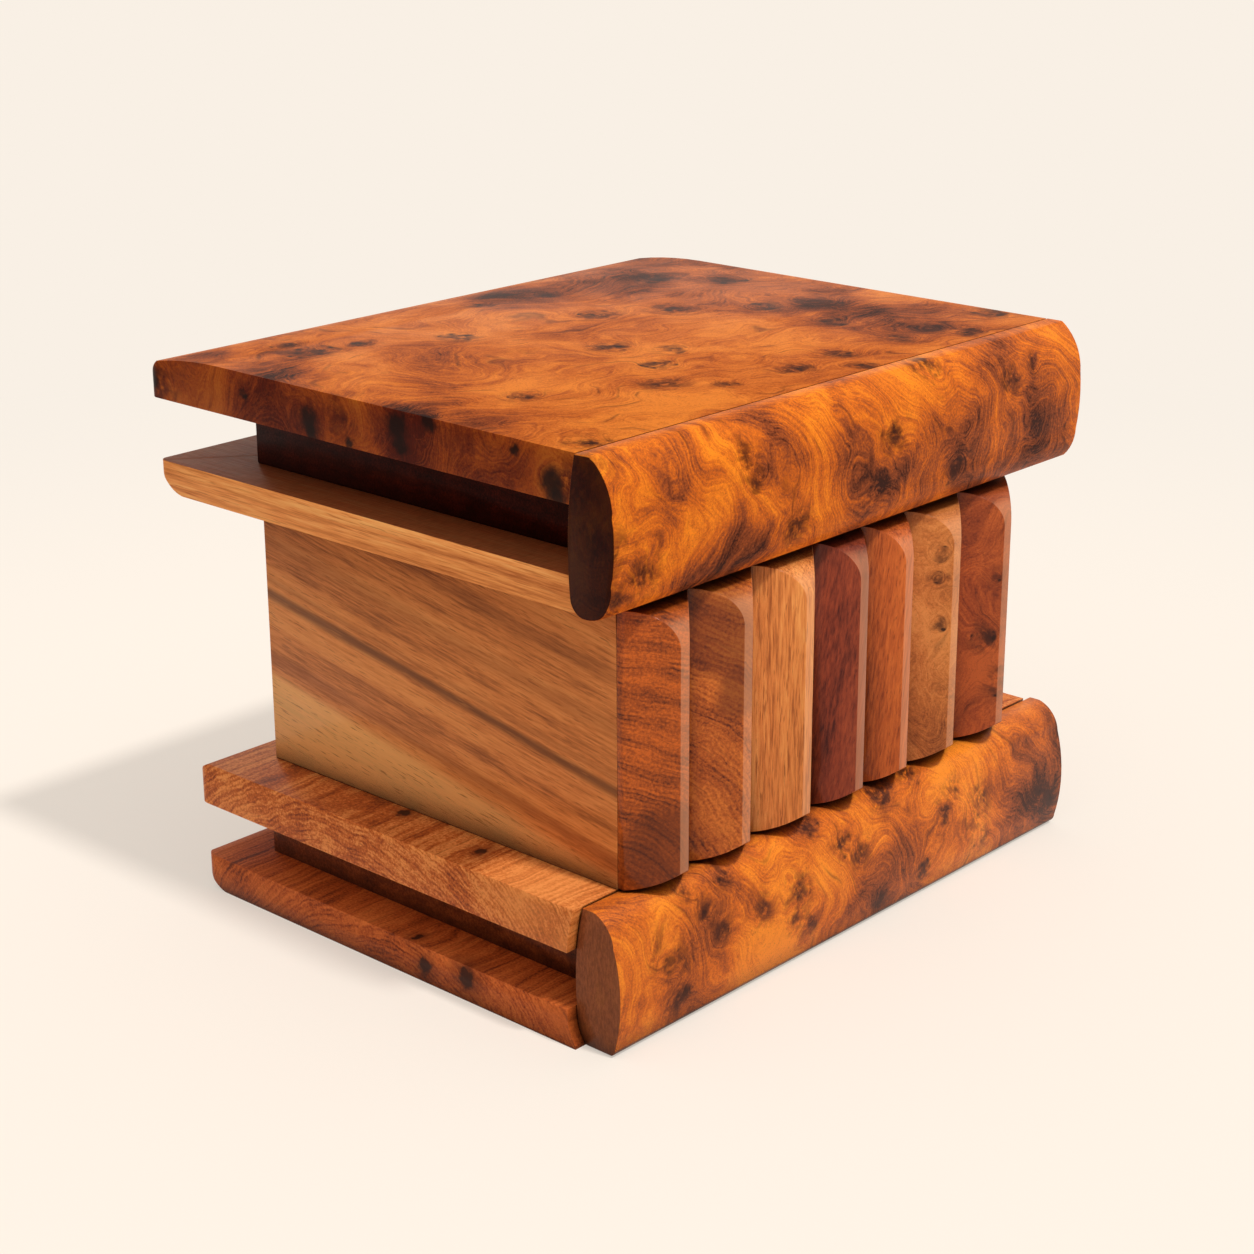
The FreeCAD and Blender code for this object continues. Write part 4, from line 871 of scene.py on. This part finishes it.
# %% [markdown]
# ## Metal
# The hinges, the lock and the strike are brass that has dulled a little, and the bolt and
# the key are steel. They are small and hidden while the lid is shut.


# %% A recipe for metal
def metal(name, colour, tarnish, rough):
    finish = Finish(name)
    stain = finish.cloud(finish.place, 2.2, 4, 0.6)
    brushed = finish.cloud(finish.move("MULTIPLY", finish.place, (1, 9, 9)), 0.8, 2)
    tint = finish.mix(finish.step(stain, 0.5, 0.75), colour, tarnish)
    bump = finish.add(
        "ShaderNodeBump", {"Height": brushed, "Strength": 0.3, "Distance": 0.01 * MM}
    )
    shader = finish.add(
        "ShaderNodeBsdfPrincipled",
        {
            "Base Color": tint,
            "Metallic": 1.0,
            "Roughness": finish.step(stain, 0.3, 0.8, rough, rough + 0.25),
            "Normal": bump.outputs[0],
        },
    )
    finish.add("ShaderNodeOutputMaterial", {"Surface": shader.outputs[0]})
    return finish.material


brass = metal("dull_brass", paint(202, 158, 84), paint(128, 92, 48), 0.3)
steel = metal("dull_steel", paint(150, 146, 140), paint(92, 84, 76), 0.34)
print("metals:", brass.name, steel.name)

# %% [markdown]
# ## Which piece gets which finish
# A list by name is easy to read and easy to change. A piece that isn't in the list is part of
# a hinge or of the lock, so it is brass.

# %% Give every piece its finish
finishes = {
    "lid_top_board": lid_wood, "lid_spine": spine_wood, "lid_page_block": page_wood,
    "lid_lower_board": pale_wood, "base_spine": base_spine_wood,
    "base_upper_board": base_wood, "base_lower_board": base_lower_wood,
    "base_page_block": base_page_wood, "left_wall": wall_wood, "right_wall": wall_wood,
    "front_wall": cross_wood, "back_wall": cross_wood, "spine_rail": base_page_wood,
    "stop_pin": brass, "lock_bolt": steel, "key": steel,
}
finishes.update({f"book_{number}": wood for number, wood in book_woods.items()})
for name, piece in frame["nodes"].items():
    piece.data.materials.clear()
    piece.data.materials.append(finishes.get(name, brass))
print("finished pieces:", len(frame["nodes"]))

# %% [markdown]
# ## Sanded edges
# A sharp corner catches no light, so it looks like a drawing. Real boards are eased with
# sandpaper. Smooth shading would blur the real corners, and flat shading would show the
# short faces of every curve. So bends up to an angle are shaded smooth, and the rest are not.

# %% Smooth the gentle bends
GENTLE_BEND = math.radians(36)


def gentle_shading():
    """A node group that shades gentle bends smooth and keeps real corners crisp."""
    group = bpy.data.node_groups.new("gentle_shading", "GeometryNodeTree")
    group.interface.new_socket("Geometry", in_out="INPUT", socket_type="NodeSocketGeometry")
    group.interface.new_socket("Geometry", in_out="OUTPUT", socket_type="NodeSocketGeometry")
    into, out = group.nodes.new("NodeGroupInput"), group.nodes.new("NodeGroupOutput")
    faces = group.nodes.new("GeometryNodeSetShadeSmooth")
    edges = group.nodes.new("GeometryNodeSetShadeSmooth")
    edges.domain = "EDGE"
    edges.inputs["Shade Smooth"].default_value = False
    angle = group.nodes.new("GeometryNodeInputMeshEdgeAngle")
    steep = group.nodes.new("ShaderNodeMath")
    steep.operation = "GREATER_THAN"
    steep.inputs[1].default_value = GENTLE_BEND
    group.links.new(into.outputs[0], faces.inputs["Geometry"])
    group.links.new(faces.outputs[0], edges.inputs["Geometry"])
    group.links.new(angle.outputs[0], steep.inputs[0])
    group.links.new(steep.outputs[0], edges.inputs["Selection"])
    group.links.new(edges.outputs[0], out.inputs[0])
    return group


SHADING = gentle_shading()
print("shaded smooth up to, degrees:", round(math.degrees(GENTLE_BEND)))

# %% [markdown]
# ## A narrow rounding
# Each wooden piece first has its flat faces joined up, so that no stray edge gets rounded,
# then a bevel along its real edges. Modifiers do this, which leaves the measured mesh as it
# is. The thick covers were sanded a little more than the rest. Metal, and the rail that
# nobody sees, stay sharp.

# %% Ease the edges
TOUCHING, FLAT_ENOUGH, REAL_EDGE = 0.001 * MM, math.radians(0.6), math.radians(32)
WIDTHS = {"lid_top_board": 0.35, "lid_spine": 0.3, "base_spine": 0.35, "lid_lower_board": 0.3}
USUAL_WIDTH = 0.25
LEFT_SHARP = ("stop_pin", "lock_bolt", "key", "spine_rail")


def ease(piece, width):
    """Round a piece's edges by width millimetres without touching its own mesh."""
    weld = piece.modifiers.new("join_corners", "WELD")
    weld.merge_threshold = TOUCHING
    flat = piece.modifiers.new("join_flats", "DECIMATE")
    flat.decimate_type = "DISSOLVE"
    flat.angle_limit = FLAT_ENOUGH
    if width:
        bevel = piece.modifiers.new("sanded_edge", "BEVEL")
        bevel.width = width * MM
        bevel.segments = 3
        bevel.limit_method = "ANGLE"
        bevel.angle_limit = REAL_EDGE
        bevel.harden_normals = True
    shade = piece.modifiers.new("gentle_shading", "NODES")
    shade.node_group = SHADING


rounded_pieces = [name for name in finishes if name not in LEFT_SHARP]
for name, piece in frame["nodes"].items():
    ease(piece, WIDTHS.get(name, USUAL_WIDTH) if name in rounded_pieces else 0)
print("pieces with rounded edges:", len(rounded_pieces))

# %% [markdown]
# ## The small screws
# The measured model keeps its screws as plain rods. Here each one gets what a brass
# countersunk screw has: a flat head, a cone under it, and a slot for the screwdriver. A
# thread would never be seen, so it is left out. The shape is round, so it is turned as on a
# lathe: an outline goes once about the middle line.

# %% Turn an outline
import bmesh

SCREW_OUTLINE = [
    (0.25, -4.9), (0.62, -4.3), (0.62, -0.75), (1.15, -0.12), (1.2, -0.03), (1.12, 0.0),
]


def turned(name, outline, sides=40):
    """A mesh made by turning an outline of (radius, height) in millimetres."""
    mesh = bmesh.new()
    rings = []
    for radius, height in outline:
        ring = []
        for number in range(sides):
            angle = 2 * math.pi * number / sides
            corner = (radius * math.cos(angle), radius * math.sin(angle), height)
            ring.append(mesh.verts.new([value * MM for value in corner]))
        rings.append(ring)
    for lower, upper in zip(rings, rings[1:]):
        for number in range(sides):
            after = (number + 1) % sides
            mesh.faces.new((lower[number], lower[after], upper[after], upper[number]))
    mesh.faces.new(list(reversed(rings[0])))
    mesh.faces.new(rings[-1])
    done = bpy.data.meshes.new(name)
    mesh.to_mesh(done)
    mesh.free()
    return done


screw_blank = turned("screw_blank", SCREW_OUTLINE)
print("screw, mm wide:", 2 * max(radius for radius, height in SCREW_OUTLINE))

# %% [markdown]
# ## The slot
# A slot is a bar taken away from the head, which a boolean does exactly. It is cut once, and
# all twelve screws are copies of the one that is ready.

# %% Cut the slot
SLOT_BAR = Vector((4, 0.34, 0.7)) * MM    # longer than the head, then its width and height


def slotted_screw():
    """One screw, head up at height 0, with its slot cut."""
    screw = bpy.data.objects.new("screw_blank", screw_blank)
    bpy.context.scene.collection.objects.link(screw)
    bar = bmesh.new()
    bmesh.ops.create_cube(bar, size=1.0)
    bmesh.ops.scale(bar, vec=SLOT_BAR, verts=bar.verts)
    bar_mesh = bpy.data.meshes.new("slot_bar")
    bar.to_mesh(bar_mesh)
    bar.free()
    cutter = bpy.data.objects.new("slot_bar", bar_mesh)
    bpy.context.scene.collection.objects.link(cutter)
    slot = screw.modifiers.new("slot", "BOOLEAN")
    slot.operation = "DIFFERENCE"
    slot.object = cutter
    slot.solver = "EXACT"
    bpy.context.view_layer.update()
    cut = screw.evaluated_get(bpy.context.evaluated_depsgraph_get())
    ready = bpy.data.meshes.new_from_object(cut)
    for spare in (screw, cutter):
        bpy.data.objects.remove(spare)
    return ready


SCREW = slotted_screw()
print("faces of a slotted screw:", len(SCREW.polygons))

# %% [markdown]
# ## Find the rods
# One piece of the measured model holds several rods. Two corners belong to the same rod when
# a chain of edges joins them, so each chain is followed to its end, and its box is noted.


# %% Find the rods
def rods(piece):
    """The lowest and the highest corner of the box round each separate rod of a piece."""
    mesh = bmesh.new()
    mesh.from_mesh(piece.data)
    bmesh.ops.remove_doubles(mesh, verts=mesh.verts, dist=TOUCHING)
    waiting, found = set(mesh.verts), []
    while waiting:
        group, edge_of_group = set(), [waiting.pop()]
        while edge_of_group:
            vert = edge_of_group.pop()
            group.add(vert)
            for edge in vert.link_edges:
                other = edge.other_vert(vert)
                if other in waiting:
                    waiting.discard(other)
                    edge_of_group.append(other)
        corners = [vert.co.copy() for vert in group]
        found.append((Vector(map(min, zip(*corners))), Vector(map(max, zip(*corners)))))
    mesh.free()
    return sorted(found, key=lambda ends: tuple(ends[0]))


# %% [markdown]
# ## Drive the screws in
# Each head ends where its rod ends and faces the way that it was driven from. No two slots
# line up, because nobody turns every screw by the same amount. A screw rides on the body
# that its rod rides on, so the lid's screws turn with the lid.

# %% Put a screw on every rod
FIRST_TURN, NEXT_TURN = 0.5, 1.3    # in radians
HEADS = {
    "hinge_box_screws": Vector((0, 0, 1)), "hinge_lid_screws": Vector((0, 0, -1)),
    "strike_screws": Vector((0, 0, -1)), "lock_screws": Vector((0, 1, 0)),
}
for node_name, head in HEADS.items():
    whole = bmesh.new()
    for number, (least, most) in enumerate(rods(frame["nodes"][node_name])):
        middle = (least + most) / 2
        half_length = abs((most - least).dot(head)) / 2
        spin = Matrix.Rotation(FIRST_TURN + NEXT_TURN * number, 3, "Z")
        stand = head.to_track_quat("Z", "Y").to_matrix() @ spin
        copy = SCREW.copy()
        copy.transform(Matrix.Translation(middle + head * half_length) @ stand.to_4x4())
        whole.from_mesh(copy)
    mesh = bpy.data.meshes.new(f"{node_name}_slotted")
    whole.to_mesh(mesh)
    whole.free()
    mesh.materials.append(brass)
    piece = bpy.data.objects.new(f"{node_name}_slotted", mesh)
    bpy.context.scene.collection.objects.link(piece)
    home = frame["nodes"][node_name].parent.name.split(":")[-1]
    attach(piece, home)
    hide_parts(node_name)
    ease(piece, 0)
    print(node_name, "screws:", number + 1, "on", home)

# %% [markdown]
# ## The floor
# The box stands on a pale sweep of paper that fades into the background. Near the box the
# floor is real paper that takes its shadow. Further out it turns into plain light of the
# background's colour, so there is no horizon. The paper throws a little less light on the
# box than it shows to the eye, or the undersides would be too bright.

# %% Lay the floor
FLOOR_REACH = 4.0                       # metres from the middle to each side
FADE_FROM, FADE_TO = 110, 420           # millimetres from the middle of the box
PAPER, PAPER_SEEN = paint(222, 208, 190), paint(246, 237, 227)
floor_corners = [
    (across * FLOOR_REACH, back * FLOOR_REACH, 0)
    for across, back in ((-1, -1), (1, -1), (1, 1), (-1, 1))
]
floor_mesh = bpy.data.meshes.new("floor")
floor_mesh.from_pydata(floor_corners, [], [(0, 1, 2, 3)])
floor = bpy.data.objects.new("floor", floor_mesh)
bpy.context.scene.collection.objects.link(floor)
floor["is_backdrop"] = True
paper = Finish("paper")
far = paper.move("LENGTH", paper.place)
path = paper.add("ShaderNodeLightPath", {})
looked_at = paper.sum("MAXIMUM", path.outputs["Is Camera Ray"], path.outputs["Is Glossy Ray"])
looked_at = paper.sum("MAXIMUM", looked_at, path.outputs["Is Transmission Ray"])
glowing = paper.sum("MULTIPLY", paper.step(far, FADE_FROM, FADE_TO, 0.5, 1.0), looked_at)
tint = paper.mix(looked_at, PAPER, PAPER_SEEN)
lit = paper.add("ShaderNodeBsdfDiffuse", {"Color": tint})
plain = paper.add("ShaderNodeEmission", {"Color": BACKDROP, "Strength": 1.0})
both = paper.add("ShaderNodeMixShader", {0: glowing, 1: lit.outputs[0], 2: plain.outputs[0]})
paper.add("ShaderNodeOutputMaterial", {"Surface": both.outputs[0]})
floor_mesh.materials.append(paper.material)
print("the paper fades out from", FADE_FROM, "to", FADE_TO, "mm")

# %% [markdown]
# ## Compare the size
# The box round the dressed object is taken again and compared with the measured box, and
# the largest difference between them is printed. The dressed object may not be bigger
# than the measured one.

# %% Compare both boxes
dressed_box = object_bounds()
growth = max(abs(a - b) for one, two in zip(measured_box, dressed_box) for a, b in zip(one, two))
print("dressed box differs by at most, mm:", round(growth / MM, 2))
